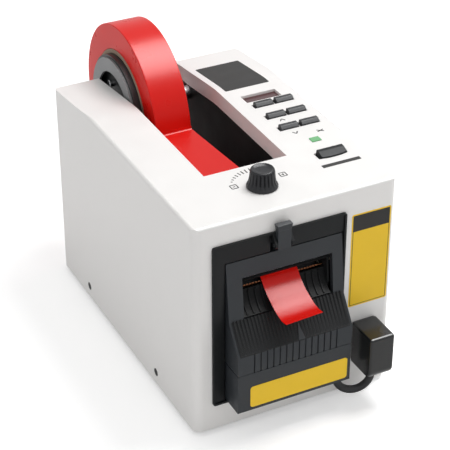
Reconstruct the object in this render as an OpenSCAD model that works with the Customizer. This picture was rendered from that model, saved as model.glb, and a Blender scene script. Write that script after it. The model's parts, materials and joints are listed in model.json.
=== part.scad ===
// Electric tape dispenser: housing, tape reel and a removable feed and cutter unit.
// Built with x to the right, y to the rear from the housing's front face and z up from its lower rim.

/* [Housing] */
// Width of the housing
body_w = 140; // [130:1:160]
// Depth of the housing
body_d = 221; // [205:1:238]
// Height of the housing at its flat top
body_h = 151; // [148:1:160]
// Thickness of the housing's wall
wall = 2.5; // [2:0.1:3]
// Radius of the upright corners
corner_r = 6; // [5:0.5:12]
// Radius of the top edges
edge_r = 2.5; // [2.5:0.5:6]
// Distance from the front to the crease in the top
crease_y = 155; // [150:1:165]
// Radius of the crease
crease_r = 100; // [60:5:120]
// Drop of the top from the crease to the rear
rear_drop = 8; // [4:0.5:10]
// Thickness of the base plate
base_t = 2; // [1.5:0.1:3]
// Height of the base plate's side flanges
flange_h = 16; // [14:0.5:20]
// Height of the feet
foot_h = 3; // [2:0.5:6]
// Radius of the feet
foot_r = 8; // [6:0.5:10]
// Distance of the feet from the housing's sides
foot_inset = 18; // [14:1:24]
// Height of the side screws above the rim
screw_z = 9; // [8:0.5:10]
// Distance of the front side screws from the front
screw_front = 59; // [50:1:70]
// Distance between the front and rear side screws
screw_pitch = 112; // [100:1:120]
// Radius of the side screws' shanks
screw_r = 1.5; // [1.2:0.1:1.8]
// Radius of the side screws' heads
screw_head_r = 2.7; // [2.4:0.1:3]
// Thickness of the side screws' heads
screw_head_t = 1.3; // [1:0.1:1.4]

/* [Tape well] */
// Width of the deck left of the well
left_deck = 33.5; // [30:0.5:36]
// Width of the well
well_w = 57.8; // [56:0.2:62]
// Distance from the front face to the well
well_front = 54; // [53:0.5:60]
// Depth of the folded lip round the well
lip_h = 11; // [8:0.5:12]
// Thickness of the chassis walls
chassis_t = 2; // [1.5:0.1:2.4]
// Height of the well's floor
well_floor = 50; // [44:1:54]

/* [Reel] */
// Distance of the reel's axle from the housing's rear
reel_back = 24; // [13:1:32]
// Depth of the reel's axle below the flat top
reel_drop = 21.5; // [20:0.5:26]
// Outer radius of the tape roll
roll_r = 58.5; // [46:0.5:64]
// Width of the tape
tape_w = 25.4; // [19:0.1:40]
// Inner radius of the roll's core
core_r = 38.1; // [36:0.1:40]
// Thickness of the roll's core
core_t = 2.8; // [2:0.1:4]
// Radius of the axle
axle_r = 5; // [4:0.1:6]
// Gap between the reel's hub and the well's left wall
hub_gap = 1; // [0.8:0.1:3]
// Distance of the roll from the hub's left end
roll_inset = 5.7; // [4:0.1:12]
// How far the hub stands out right of the roll
hub_out = 2; // [1:0.1:8]
// Thickness of the hub's rim
hub_t = 3; // [2:0.1:4]
// Thickness of the hub's end disc
disc_t = 1.5; // [1:0.1:2.5]
// Width of the step between the end disc and the hub's rim
disc_step = 1.8; // [1:0.1:3]
// Width of the end disc's ring
disc_ring = 9.6; // [7:0.1:14]
// Radius of the hub's boss
boss_r = 10; // [8:0.1:14]
// Depth of the hub's web behind its left end
web_in = 5; // [4:0.5:13]

/* [Tape path] */
// Slope of the tape through the feed and cutter unit, in degrees
path_a = 45; // [43:0.5:47]
// Distance of the cut behind the front face
cut_y = 9; // [8.5:0.1:10]
// Height of the unit's top above the cut
cut_drop = 19.8; // [19.4:0.1:20.4]
// Thickness of the tape as modelled
tape_t = 0.3; // [0.2:0.05:0.4]
// Distance from the cut up the path to the roller nip
nip_u = 10.5; // [10.2:0.1:11]
// Radius of the feed roller
feed_r = 7.5; // [6.5:0.1:7.8]
// Radius of the pinch roller
pinch_r = 4.5; // [4:0.1:4.8]
// Distance from the cut up the path to the guide roller
guide_u = 43.4; // [42.6:0.1:44]
// Radius of the guide roller
guide_r = 4.5; // [4:0.1:5]
// Height above the axle where the tape leaves the roll
peel_lift = 5.5; // [3:0.5:12]
// Radius of the rollers' shafts
shaft_r = 2; // [1.5:0.1:2.4]
// How far the tape's free end reaches in front of the housing
tail_reach = 25.5; // [25:0.5:30]

/* [Unit] */
// Distance of the unit's left side from the well's left side
unit_offset = 12.1; // [11.6:0.1:13]
// Width of the unit
unit_w = 80; // [79:0.5:82]
// Distance of the unit's top below the housing's flat top
unit_drop = 29.4; // [28:0.1:31]
// Height of the unit
unit_h = 101.1; // [100:0.1:103]
// Depth of the unit behind the front face
unit_d = 46; // [45:0.5:48]
// Thickness of the unit's casing
unit_wall = 2.2; // [1.8:0.1:2.6]
// How far the side bars lean forward at their feet
bar_lean = 4.5; // [3:0.5:6]
// How far the unit's nose stands in front of the housing
nose_reach = 17; // [15:0.5:20]
// Height of the ramp's upper edge above the unit's underside
ramp_top_h = 60.5; // [58:0.5:62]
// Height of the ramp's lower edge above the unit's underside
nose_h = 42.5; // [40:0.5:45]
// Height of the seam above the unit's underside
seam_h = 28.7; // [26:0.1:31]
// Thickness of the seam's groove
seam_t = 0.6; // [0.4:0.1:1]
// Width of the window's left bar
bar_left_w = 10.4; // [10:0.1:10.6]
// Width of the window's right bar
bar_right_w = 7.4; // [7:0.1:8]
// Height of the bar over the window
head_bar_h = 11.9; // [11:0.1:12.5]
// Pitch of the grooves in the nose and the chute
rib_pitch = 4.45; // [4:0.05:5]
// Width of the grooves in the nose
groove_w = 1; // [0.6:0.1:1.4]
// Depth of the grooves in the nose
groove_d = 0.8; // [0.4:0.1:1.2]
// Thickness of the unit's inner plates
plate_t = 1.5; // [1.2:0.1:1.6]
// Space between the casing's right wall and the right plate, for the gears
gear_room = 5.4; // [5.2:0.1:6]
// Clearance between the unit and the latch's hook
unit_clear = 0.4; // [0.3:0.05:0.6]

/* [Drive and cutter] */
// Teeth of the gear on the feed shaft
gear_n = 28; // [26:1:28]
// Teeth of the feed motor's pinion
pinion_n = 14; // [14:1:15]
// Module of the gears
gear_m = 1; // [0.96:0.01:1.02]
// Width of the gears
gear_t = 4; // [3:0.1:4.2]
// Direction from the feed shaft to the feed motor, in degrees
motor_a = -55; // [-60:1:-54]
// Radius of the motors
motor_r = 9; // [8:0.1:9.4]
// Length of the motors
motor_l = 28; // [24:0.5:29]
// Radius of the motor shafts
motor_shaft_r = 1.5; // [1:0.1:2]
// Throw of the cutter's crank
crank_throw = 5; // [4.6:0.1:5.2]
// Half of the crank's working arc, in degrees
crank_half = 35; // [30:1:40]
// Radius of the crank's pin
crank_pin_r = 1.5; // [1.2:0.1:1.8]
// Radius of the crank's disc
crank_r = 7.5; // [7.2:0.1:8]
// Thickness of the crank's disc
crank_t = 1.8; // [1.5:0.1:2]
// Distance of the crank's axis below the path
crank_v = 30; // [29.5:0.1:31]
// Thickness of the blades
blade_t = 1.2; // [0.8:0.1:1.4]
// Width of the blades
blade_w = 56; // [50:0.5:57]
// Height of the moving blade
blade_h = 14; // [12:0.5:15]
// Distance of the moving blade's edge below the path at rest
blade_open = 2.5; // [2:0.1:3]
// Thickness of the blade carrier
carrier_t = 3.2; // [2.6:0.1:3.4]
// Height of the fixed blade
fixed_h = 8.2; // [7:0.1:8.4]
// Thickness of the fixed blade's holder
holder_t = 1.4; // [1.2:0.1:2]
// Height of the fixed blade's holder
holder_h = 4; // [3:0.1:4.4]
// Pitch of the guide comb's teeth
tooth_pitch = 2; // [1.8:0.05:2.4]
// Width of the guide comb's teeth
tooth_w = 1.2; // [1:0.05:1.4]
// Height of the guide comb's teeth
tooth_h = 1.8; // [1.4:0.1:2]
// Gap between the tape and the fixed blade's edge
fixed_gap = 0.5; // [0.4:0.05:0.7]

/* [Bezel and latch] */
// Width of the bezel left of the unit
bezel_left = 9.4; // [8:0.1:11]
// Width of the bezel right of the unit
bezel_right = 2.2; // [2:0.1:3]
// Height of the bezel over the unit
bezel_top = 14.6; // [14:0.1:16]
// Height of the bezel under the unit
bezel_bottom = 1.7; // [1.4:0.1:3]
// Width of the bezel's raised rim
rim_w = 1.4; // [1.3:0.05:1.5]
// Thickness of the bezel's raised rim
rim_t = 1.5; // [1.4:0.1:2]
// Thickness of the recess's walls behind the bezel
collar_t = 0.9; // [0.7:0.05:1]
// Depth of the recess behind the bezel
collar_d = 30; // [22:0.5:34]
// Width of the latch
latch_w = 9; // [7:0.1:10]
// Distance of the latch from the unit's left side
latch_x = 32; // [31:0.1:37]
// Height of the latch's pivot above the unit
latch_z = 7.4; // [7:0.1:8]
// Distance of the latch's pivot in front of the housing
latch_y = 4.2; // [4:0.1:4.6]
// Height of the latch's handle above its pivot
handle_h = 13.5; // [9:0.1:15]
// Depth of the latch's handle below its pivot
handle_foot = 3; // [2:0.1:6]
// Thickness of the latch's handle
handle_t = 3.6; // [3:0.1:4]
// Reach of the latch's arm behind the front face
arm_reach = 11; // [10:0.1:12]
// Radius of the latch's pin
latch_pin_r = 1; // [0.8:0.05:1.2]

/* [Panel] */
// Distance of the keys' middle from the housing's right side
panel_x = 22.5; // [21.5:0.5:24]
// Width of a key
key_w = 14.2; // [13:0.1:14.4]
// Depth of a key
key_d = 5; // [4:0.1:10]
// Distance between the keys' columns
key_pitch_x = 15.1; // [14.9:0.1:16]
// Distance between the keys' rows
key_pitch_y = 17.4; // [16:0.1:18]
// Distance of the first row of keys from the front
key_y = 86; // [84:0.5:88]
// Height of the keys above the top
key_h = 2.5; // [2:0.1:3.5]
// Travel of the keys
key_travel = 1.2; // [1:0.1:1.5]
// Width of the large key
auto_w = 20; // [18:0.5:22]
// Depth of the large key
auto_d = 7; // [5:0.5:11]
// Distance of the large key from the front
auto_y = 44.5; // [43:0.5:47]
// Width of the display's window
display_w = 25.5; // [23:0.5:27]
// Depth of the display's window
display_d = 9.6; // [9:0.1:11]
// Distance of the display from the front
display_y = 132.5; // [131:0.5:134]
// Distance of the display's middle left of the keys' middle
display_left = 3; // [1:0.5:4]
// Depth of the display's window below the top
display_sink = 1.8; // [0.8:0.1:2]
// Width of the power light
led_w = 6.5; // [5:0.5:8]
// Depth of the power light
led_d = 5; // [3:0.1:6]
// Distance of the power light from the front
led_y = 64; // [60:0.5:66]
// Distance of the key board below the top
board_drop = 13.4; // [13:0.1:15]
// Thickness of the circuit boards
board_t = 1.6; // [1.2:0.1:2]
// Distance of the dial right of the housing's middle
dial_x = -10; // [-14:0.5:-6]
// Distance of the dial from the front
dial_y = 27.5; // [24:0.5:30]
// Radius of the dial's skirt
dial_r = 10.8; // [9:0.1:12]
// Radius of the dial's grip
dial_top_r = 7.4; // [6:0.1:8]
// Height of the dial
dial_h = 12.4; // [11:0.1:14]
// Radius of the dial's shaft
dial_shaft_r = 3; // [2.5:0.1:3.2]
// Radius of the potentiometer
pot_r = 8; // [7:0.1:9]
// Height of the potentiometer
pot_h = 8; // [6:0.1:9]

/* [Plug and inlet] */
// Distance of the plug's middle from the unit's right side
plug_x = 18.4; // [17:0.1:20]
// Width of the plug
plug_w = 17.6; // [15:0.1:19]
// Length of the plug
plug_l = 24; // [22:0.5:24.5]
// Height of the plug
plug_h = 31; // [29:0.5:32]
// Height of the plug's underside above the rim
plug_z = 21; // [20:0.5:24]
// Width of the plug's metal shell
shell_w = 8.4; // [7:0.1:10]
// Height of the plug's metal shell
shell_h = 17; // [15:0.5:19]
// Length of the plug's metal shell
shell_l = 5.6; // [4:0.1:7]
// Diameter of the plug's lead
lead_d = 5.2; // [4:0.1:5.4]
// Distance of the power inlet from the housing's right side
inlet_x = 20; // [18:0.5:26]
// Height of the power inlet above the rim
inlet_z = 22; // [20:0.5:30]
// Width of the power inlet's flange
inlet_w = 13; // [11:0.5:15]
// Radius of the power inlet's bore
inlet_r = 3; // [2.5:0.1:3.5]

/* [Hidden] */
$fn = 64;
// Clearances: sliding, running, seating
slide_gap = 0.3;
run_gap = 0.05;
fit_gap = 0.2;
nip_gap = 0.1;
over = 1;

slope_a = atan2(rear_drop, body_d - crease_y);
inner_z = body_h - wall;
well_x0 = -body_w/2 + left_deck;
well_x1 = well_x0 + well_w;

reel_y = body_d - reel_back;
reel_z = body_h - reel_drop;
hub_x0 = well_x0 + hub_gap;
roll_x0 = hub_x0 + roll_inset;
hub_x1 = roll_x0 + tape_w + hub_out;
hub_r = core_r - slide_gap/2;
core_or = core_r + core_t;
axle_end = chassis_t + 1;

unit_x0 = well_x0 - unit_offset;
unit_x1 = unit_x0 + unit_w;
unit_z1 = body_h - unit_drop;
unit_z0 = unit_z1 - unit_h;
tape_x = (unit_x0 + unit_x1)/2;
ramp_top_z = unit_z0 + ramp_top_h;
nose_z = unit_z0 + nose_h;
seam_z = unit_z0 + seam_h;
front_wall = 1.45*unit_wall;
shell_floor = seam_z + unit_wall;
shell_roof = unit_z1 - unit_wall;
window_x0 = unit_x0 + bar_left_w;
window_x1 = unit_x1 - bar_right_w;
window_top = unit_z1 - head_bar_h;
back_t = unit_wall;
shell_rear = unit_d - back_t;
left_plate_x = window_x0 - plate_t + slide_gap;
right_plate_x = unit_x1 - unit_wall - gear_room - plate_t;
span_x0 = left_plate_x + plate_t;
span_x1 = right_plate_x;
span_w = span_x1 - span_x0;
plate_rear = shell_rear - 2;

cut_z = unit_z1 - cut_drop;
feed_c = path_pt(nip_u, -feed_r - nip_gap);
pinch_c = path_pt(nip_u, tape_t + nip_gap + pinch_r);
guide_c = path_pt(guide_u, -guide_r - slide_gap);
gear_x = right_plate_x + plate_t + slide_gap;
motor_c = feed_c + gear_m*(gear_n + pinion_n)/2*[cos(motor_a), sin(motor_a)];
crank_u = blade_t/2 - carrier_t/2 - crank_throw;
crank_c = path_pt(crank_u, -crank_v);
crank_x = left_plate_x - slide_gap - crank_t;
yoke_t = 2;
yoke_x = crank_x - slide_gap - yoke_t;
stroke = 2*crank_throw*sin(crank_half);
roller_gap = 0.9;
blade_x0 = tape_x - blade_w/2;

bezel_x0 = unit_x0 - bezel_left;
bezel_x1 = unit_x1 + bezel_right;
bezel_z0 = unit_z0 - bezel_bottom;
bezel_z1 = unit_z1 + bezel_top;
open_x0 = bezel_x0 + rim_w;
open_x1 = bezel_x1 - rim_w;
open_z0 = bezel_z0 + rim_w;
open_z1 = bezel_z1 - rim_w;
latch_x0 = unit_x0 + latch_x;
pivot_z = unit_z1 + latch_z;
arm_w = latch_w - 2;
arm_t = 3;
ear_t = 1.6;
ear_r = 2.4;

keys_x = body_w/2 - panel_x;
board_z = body_h - board_drop;
switch_h = 3.5;
plug_mid = unit_x1 + plug_x;
socket_z = plug_z + plug_h/2;
lead_exit_y = -13;
gland_y = -6.2;
gland_x = unit_x1 - 4;
inlet_mid = body_w/2 - inlet_x;

rear_reach = max(reel_y + roll_r, body_d);
frame_y = (tail_reach - rear_reach)/2;

// A point on the tape's path: u up the path from the cut, v square to it, as [y, z]
function path_pt(u, v) = [cut_y + u*cos(path_a) - v*sin(path_a), cut_z + u*sin(path_a) + v*cos(path_a)];
function arc(c, r, a0, a1, n) = [for (i = [0:n]) c + r*[cos(a0 + (a1 - a0)*i/n), sin(a0 + (a1 - a0)*i/n)]];
function unit(v) = v/norm(v);

// The housing's top at a distance y from the front
function top_z(y) = body_h - max(0, y - crease_y)*tan(slope_a);

module block(lo, hi) {
    translate(lo) cube(hi - lo);
}
// A flat outline in y and z, carried along x
module along_x(x0, length) {
    translate([x0, 0, 0]) rotate([90, 0, 90]) linear_extrude(length) children();
}
// A rod along x through a point [y, z]
module rod(x0, length, c, r) {
    translate([x0, c[0], c[1]]) rotate([0, 90, 0]) cylinder(h = length, r = r);
}
// Children drawn on the tape's path: y up the path, z square to it
module on_path() {
    translate([0, cut_y, cut_z]) rotate([path_a, 0, 0]) children();
}
module rounded_box(lo, hi, r) {
    w = hi[0] - lo[0];
    d = hi[1] - lo[1];
    pts = concat(arc([w - r, r], r, -90, 0, 6), arc([w - r, d - r], r, 0, 90, 6),
        arc([r, d - r], r, 90, 180, 6), arc([r, r], r, 180, 270, 6));
    translate(lo) linear_extrude(hi[2] - lo[2]) polygon(pts);
}

// A strip along stations [y, z, x of its middle], from front to rear
module sheet(path, w, t) {
    n = len(path);
    dir = [for (i = [0:n-1]) unit([for (k = [0:1]) path[min(i + 1, n - 1)][k] - path[max(i - 1, 0)][k]])];
    pts = [for (i = [0:n-1]) for (c = [[-1, 0], [1, 0], [1, 1], [-1, 1]])
        [path[i][2] + c[0]*w/2, path[i][0] - dir[i][1]*t*c[1], path[i][1] + dir[i][0]*t*c[1]]];
    polyhedron(pts, loft_faces(n, 4));
}
// A round lead along points
module tube(path, r, sides) {
    n = len(path);
    dir = [for (i = [0:n-1]) unit(path[min(i + 1, n - 1)] - path[max(i - 1, 0)])];
    pts = [for (i = [0:n-1]) let (a = unit(cross(dir[i], [0, 1, 0])), b = cross(dir[i], a))
        for (k = [0:sides-1]) path[i] + r*cos(360*k/sides)*a + r*sin(360*k/sides)*b];
    polyhedron(pts, loft_faces(n, sides));
}
function loft_faces(n, m) = concat(
    [[for (k = [m-1:-1:0]) k]],
    [for (i = [0:n-2]) for (k = [0:m-1]) [i*m + k, i*m + (k + 1)%m, (i + 1)*m + (k + 1)%m]],
    [for (i = [0:n-2]) for (k = [0:m-1]) [i*m + k, (i + 1)*m + (k + 1)%m, (i + 1)*m + k]],
    [[for (k = [0:m-1]) (n - 1)*m + k]]);

// Involute gear outlines
press_a = 25;
backlash = 0.3;
function involute(a) = tan(a)*180/PI - a;
function half_tooth(n, r) = let (rp = gear_m*n/2, rb = rp*cos(press_a))
    (PI*gear_m/2 - backlash)/(2*rp)*180/PI + involute(press_a) - involute(acos(min(1, rb/r)));
function gear_pts(n) = let (rp = gear_m*n/2, rb = rp*cos(press_a), rf = rp - 1.25*gear_m,
    r0 = max(rb, rf + 0.05), ra = rp + 0.95*gear_m, radii = [for (k = [0:3]) r0 + (ra - r0)*k/3])
    [for (i = [0:n-1]) each concat(
        [polar(rf, 360*i/n - half_tooth(n, r0))],
        [for (r = radii) polar(r, 360*i/n - half_tooth(n, r))],
        [for (k = [3:-1:0]) polar(radii[k], 360*i/n + half_tooth(n, radii[k]))],
        [polar(rf, 360*i/n + half_tooth(n, r0))])];
function polar(r, a) = r*[cos(a), sin(a)];

// Housing
rear_c = [body_d - edge_r, top_z(body_d - edge_r) - edge_r/cos(slope_a)];
function side_pts() = concat([[0, 0]], arc([edge_r, body_h - edge_r], edge_r, 180, 90, 6),
    arc([crease_y - crease_r*tan(slope_a/2), body_h - crease_r], crease_r, 90, 90 - slope_a, 4),
    arc(rear_c, edge_r, 90 - slope_a, 0, 6), [[body_d, 0]]);
module side_solid() {
    along_x(-body_w/2, body_w) polygon(side_pts());
}
module housing_outer() {
    hw = body_w/2;
    intersection() {
        rounded_box([-hw, 0, 0], [hw, body_d, body_h], corner_r);
        side_solid();
        translate([0, body_d, 0]) rotate([90, 0, 0]) linear_extrude(body_d) polygon(concat([[-hw, 0]],
            arc([edge_r - hw, body_h - edge_r], edge_r, 180, 90, 6),
            arc([hw - edge_r, body_h - edge_r], edge_r, 90, 0, 6), [[hw, 0]]));
    }
}
module housing_inner() {
    hw = body_w/2 - wall;
    drop = wall/cos(slope_a);
    intersection() {
        rounded_box([-hw, wall, -over], [hw, body_d - wall, body_h], corner_r - wall);
        along_x(-hw, 2*hw) polygon([[wall, -over], [wall, inner_z], [crease_y, inner_z],
            [body_d - wall, top_z(body_d - wall) - drop], [body_d - wall, -over]]);
    }
}
module each_screw() {
    for (y = [screw_front, screw_front + screw_pitch]) for (s = [-1, 1])
        translate([s*body_w/2, y, screw_z]) rotate([0, -90*s, 0]) children();
}
function key_at(i) = [keys_x + (i%2 - 0.5)*key_pitch_x, key_y + floor(i/2)*key_pitch_y];
function auto_pts(g) = concat([[auto_w/2 + g, auto_d/2 + g], [-auto_w/2 - g, auto_d/2 + g]],
    [for (k = [-4:4]) [k/4*(auto_w/2 + g), -auto_d/2 - g - 1.4*(1 - pow(k/4, 2))]]);
board_gap = 4.7;
board_x0 = well_x1 + chassis_t + board_gap;
board_x1 = body_w/2 - wall - 1.5;
board_y0 = auto_y - 14;
board_y1 = display_y + 14;
module each_post() {
    for (x = [board_x0 + 3, board_x1 - 3]) for (y = [board_y0 + 3, board_y1 - 3])
        translate([x, y, 0]) children();
}
bush_r = dial_shaft_r + 0.9;
socket_w = plug_w - 4;
socket_h = plug_h - 6;

module housing_cover() color([0.93, 0.93, 0.91]) {
    difference() {
        union() {
            difference() {
                housing_outer();
                housing_inner();
            }
            // Folded lip round the well
            intersection() {
                housing_outer();
                difference() {
                    block([well_x0 - wall, well_front - wall, 0], [well_x1 + wall, body_d, body_h + over]);
                    translate([0, 0, -lip_h]) side_solid();
                }
            }
            each_post() translate([0, 0, board_z]) cylinder(h = inner_z - board_z + wall/2, r = 2.2);
        }
        block([well_x0, well_front, well_floor], [well_x1, body_d + over, body_h + over]);
        // Room for the axle's ends at the rear
        block([well_x0 - axle_end - slide_gap, reel_y - axle_r - slide_gap, reel_z - axle_r - slide_gap],
            [well_x1 + axle_end + slide_gap, body_d + over, reel_z + axle_r + slide_gap]);
        // Front opening for the recess behind the bezel
        block([open_x0 - collar_t - fit_gap, -over, open_z0 - collar_t - fit_gap],
            [open_x1 + collar_t + fit_gap, wall + over, open_z1 + collar_t + fit_gap]);
        block([plug_mid - socket_w/2 - fit_gap, -over, socket_z - socket_h/2 - fit_gap],
            [plug_mid + socket_w/2 + fit_gap, wall + over, socket_z + socket_h/2 + fit_gap]);
        // Panel
        for (i = [0:5]) translate(concat(key_at(i), [inner_z - over]))
            block([-key_w/2 - slide_gap, -key_d/2 - slide_gap, 0],
                [key_w/2 + slide_gap, key_d/2 + slide_gap, wall + 2*over]);
        translate([keys_x, auto_y, inner_z - over])
            linear_extrude(wall + 2*over) polygon(auto_pts(slide_gap));
        translate([keys_x - display_left, display_y, inner_z])
            block([-display_w/2 - fit_gap, -display_d/2 - fit_gap, -over],
                [display_w/2 + fit_gap, display_d/2 + fit_gap, wall + over]);
        translate([keys_x, led_y, inner_z]) block([-led_w/2 - fit_gap, -led_d/2 - fit_gap, -over],
            [led_w/2 + fit_gap, led_d/2 + fit_gap, wall + over]);
        translate([dial_x, dial_y, inner_z - over]) cylinder(h = wall + 2*over, r = bush_r + fit_gap);
        block([inlet_mid - inlet_w/2 + 2 - fit_gap, body_d - wall - over, inlet_z - inlet_w/2 + 2 - fit_gap],
            [inlet_mid + inlet_w/2 - 2 + fit_gap, body_d + over, inlet_z + inlet_w/2 - 2 + fit_gap]);
        each_screw() translate([0, 0, -over]) cylinder(h = wall + 2*over, r = screw_r + fit_gap);
        each_screw() translate([0, 0, -over]) cylinder(h = screw_head_t + over, r = screw_head_r + fit_gap);
    }
}
plate_x = body_w/2 - wall - fit_gap;
control_z = base_t + 8;
control_x0 = well_x1 + chassis_t + 5;
control_x1 = plate_x - 8;
control_y0 = 64;
control_y1 = 186;
module each_pillar() {
    for (x = [control_x0 + 5, control_x1 - 5]) for (y = [control_y0 + 5, control_y1 - 5])
        translate([x, y, 0]) children();
}
module base_plate() color([0.55, 0.56, 0.58]) difference() {
    union() {
        rounded_box([-plate_x, wall + fit_gap, 0], [plate_x, body_d - wall - fit_gap, base_t],
            corner_r - wall);
        for (s = [-1, 1]) translate([s*(plate_x - 1), 0, 0])
            block([-1, screw_front - 20, 0], [1, screw_front + screw_pitch + 20, flange_h]);
        each_pillar() cylinder(h = control_z, r = 3);
    }
    each_screw() cylinder(h = 8, r = screw_r + run_gap);
}
module rubber_feet() color([0.1, 0.1, 0.1]) {
    for (x = [-1, 1]) for (y = [foot_inset, body_d - foot_inset])
        translate([x*(body_w/2 - foot_inset), y, -foot_h]) cylinder(h = foot_h, r = foot_r);
}
module case_screws() color([0.2, 0.2, 0.21]) each_screw() {
    translate([0, 0, screw_head_t/8]) cylinder(h = screw_head_t*7/8, r = screw_head_r);
    translate([0, 0, screw_head_t/2]) cylinder(h = 6.5, r = screw_r);
}

// Chassis and reel
chassis_top = body_h - lip_h - slide_gap;
chassis_rear = body_d - wall - slide_gap;
nose_top = unit_z1 + 0.9;
well_wall_z = guide_c[1] - 3;
module tape_chassis() color([0.09, 0.09, 0.1]) {
    y0 = well_front - chassis_t;
    for (x = [well_x0 - chassis_t, well_x1]) difference() {
        along_x(x, chassis_t) polygon([[y0, base_t], [y0, nose_top], [guide_c[0] - 6, nose_top],
            [guide_c[0] - 6, chassis_top], [crease_y, chassis_top],
            [chassis_rear, top_z(chassis_rear) - lip_h - slide_gap], [chassis_rear, base_t]]);
        rod(x - over, chassis_t + 2*over, [reel_y, reel_z], axle_r);
        block([x - over, reel_y, reel_z - axle_r],
            [x + chassis_t + over, chassis_rear + over, reel_z + axle_r]);
        rod(x - over, chassis_t + 2*over, guide_c, shaft_r);
    }
    block([well_x0, y0, base_t], [well_x1, well_front, well_wall_z]);
    block([well_x0, y0, well_floor - chassis_t], [well_x1, chassis_rear, well_floor]);
}
module reel_axle() color([0.75, 0.76, 0.78]) {
    rod(well_x0 - axle_end, well_w + 2*axle_end, [reel_y, reel_z], axle_r);
}
module reel_hub() color([0.08, 0.08, 0.09]) {
    x0 = hub_x0 + disc_t;
    c = [reel_y, reel_z];
    difference() {
        rod(x0, hub_x1 - x0, c, hub_r);
        rod(x0 - over, hub_x1 - x0 + 2*over, c, hub_r - hub_t);
    }
    difference() {
        union() {
            rod(hub_x0 + web_in, 4, c, hub_r - hub_t/2);
            rod(hub_x0 + web_in + 1, hub_x1 - hub_x0 - web_in - 1, c, boss_r);
        }
        rod(hub_x0, hub_x1 - hub_x0 + over, c, axle_r + run_gap);
    }
}
module hub_disc() color([0.72, 0.73, 0.74]) difference() {
    rod(hub_x0, disc_t, [reel_y, reel_z], hub_r - disc_step);
    rod(hub_x0 - over, disc_t + 2*over, [reel_y, reel_z], hub_r - disc_step - disc_ring);
}
module tape_core() color([0.7, 0.55, 0.38]) difference() {
    rod(roll_x0, tape_w, [reel_y, reel_z], core_or);
    rod(roll_x0 - over, tape_w + 2*over, [reel_y, reel_z], core_r);
}
module tape_roll() color([0.86, 0.13, 0.11]) difference() {
    rod(roll_x0, tape_w, [reel_y, reel_z], roll_r);
    rod(roll_x0 - over, tape_w + 2*over, [reel_y, reel_z], core_or);
}
module guide_shaft() color([0.75, 0.76, 0.78]) {
    rod(well_x0 - chassis_t - 1, well_w + 2*chassis_t + 2, guide_c, shaft_r);
}
module guide_roller() color([0.2, 0.2, 0.21]) difference() {
    rod(well_x0 + roller_gap, well_w - 2*roller_gap, guide_c, guide_r);
    rod(well_x0, well_w, guide_c, shaft_r + run_gap);
}
web_start = path_pt((unit_z1 + 0.8 - cut_z)/sin(path_a), 0);
web_end = [reel_y - sqrt(pow(roll_r, 2) - pow(peel_lift, 2)) - slide_gap, reel_z + peel_lift];
roll_mid = roll_x0 + tape_w/2;
module tape_web() color([0.86, 0.13, 0.11]) {
    bend = arc(guide_c, guide_r + slide_gap, 90 + path_a, 92, 4);
    rows = concat([web_start], bend);
    last = [web_end[0], web_end[1], roll_mid];
    sheet(concat([for (p = rows) [p[0], p[1], tape_x]], [last]), tape_w, tape_t);
}

// Bezel and latch
hook_y = arm_reach + latch_y;
module front_bezel() color([0.12, 0.13, 0.14]) {
    difference() {
        union() {
            block([bezel_x0, -rim_t, bezel_z0], [bezel_x1, 0, bezel_z1]);
            block([open_x0 - collar_t, -rim_t, open_z0 - collar_t],
                [open_x1 + collar_t, collar_d, open_z1 + collar_t]);
        }
        block([open_x0, -rim_t - over, open_z0], [open_x1, collar_d + over, open_z1]);
    }
    for (x = [latch_x0 - slide_gap - ear_t, latch_x0 + latch_w + slide_gap]) difference() {
        union() {
            rod(x, ear_t, [-latch_y, pivot_z], ear_r);
            along_x(x, ear_t) polygon([[-rim_t/4, bezel_z1], [-rim_t, bezel_z1],
                [-latch_y - 0.9*ear_r, pivot_z + ear_r/2], [-latch_y, pivot_z - ear_r/2],
                [-latch_y + 0.9*ear_r, pivot_z], [-rim_t/4, open_z1]]);
        }
        rod(x - over, ear_t + 2*over, [-latch_y, pivot_z], latch_pin_r);
    }
}
module latch_pin() color([0.75, 0.76, 0.78]) {
    rod(latch_x0 - slide_gap - ear_t, latch_w + 2*(slide_gap + ear_t), [-latch_y, pivot_z], latch_pin_r);
}
module release_latch() color([0.15, 0.16, 0.17]) difference() {
    translate([0, -latch_y, pivot_z]) {
        along_x(latch_x0, latch_w) polygon([[-handle_t/2, -handle_foot], [0.2, -handle_foot], [1.2, -1.5],
            [handle_t/2, 1.5], [handle_t/2, handle_h], [-handle_t/2, handle_h]]);
        along_x(latch_x0 + (latch_w - arm_w)/2, arm_w) polygon([[0, -arm_t/2], [hook_y - 2.4, -arm_t/2],
            [hook_y - 2.4, unit_clear - latch_z], [hook_y, unit_clear - latch_z],
            [hook_y, arm_t/2], [0, arm_t/2]]);
    }
    rod(latch_x0 - over, latch_w + 2*over, [-latch_y, pivot_z], latch_pin_r + run_gap);
}
module unit_rails() color([0.6, 0.61, 0.63]) {
    for (x = [unit_x0 + 7, unit_x1 - 7]) {
        block([x - 4, collar_d + 1.5, base_t], [x + 4, unit_d + 2, base_t + 1.5]);
        block([x - 0.8, collar_d + 1.5, base_t], [x + 0.8, unit_d + 2, unit_z0 - slide_gap]);
        block([x - 4, collar_d + 1.5, unit_z0 - slide_gap - 1.5], [x + 4, unit_d + 2, unit_z0 - slide_gap]);
    }
}

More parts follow.
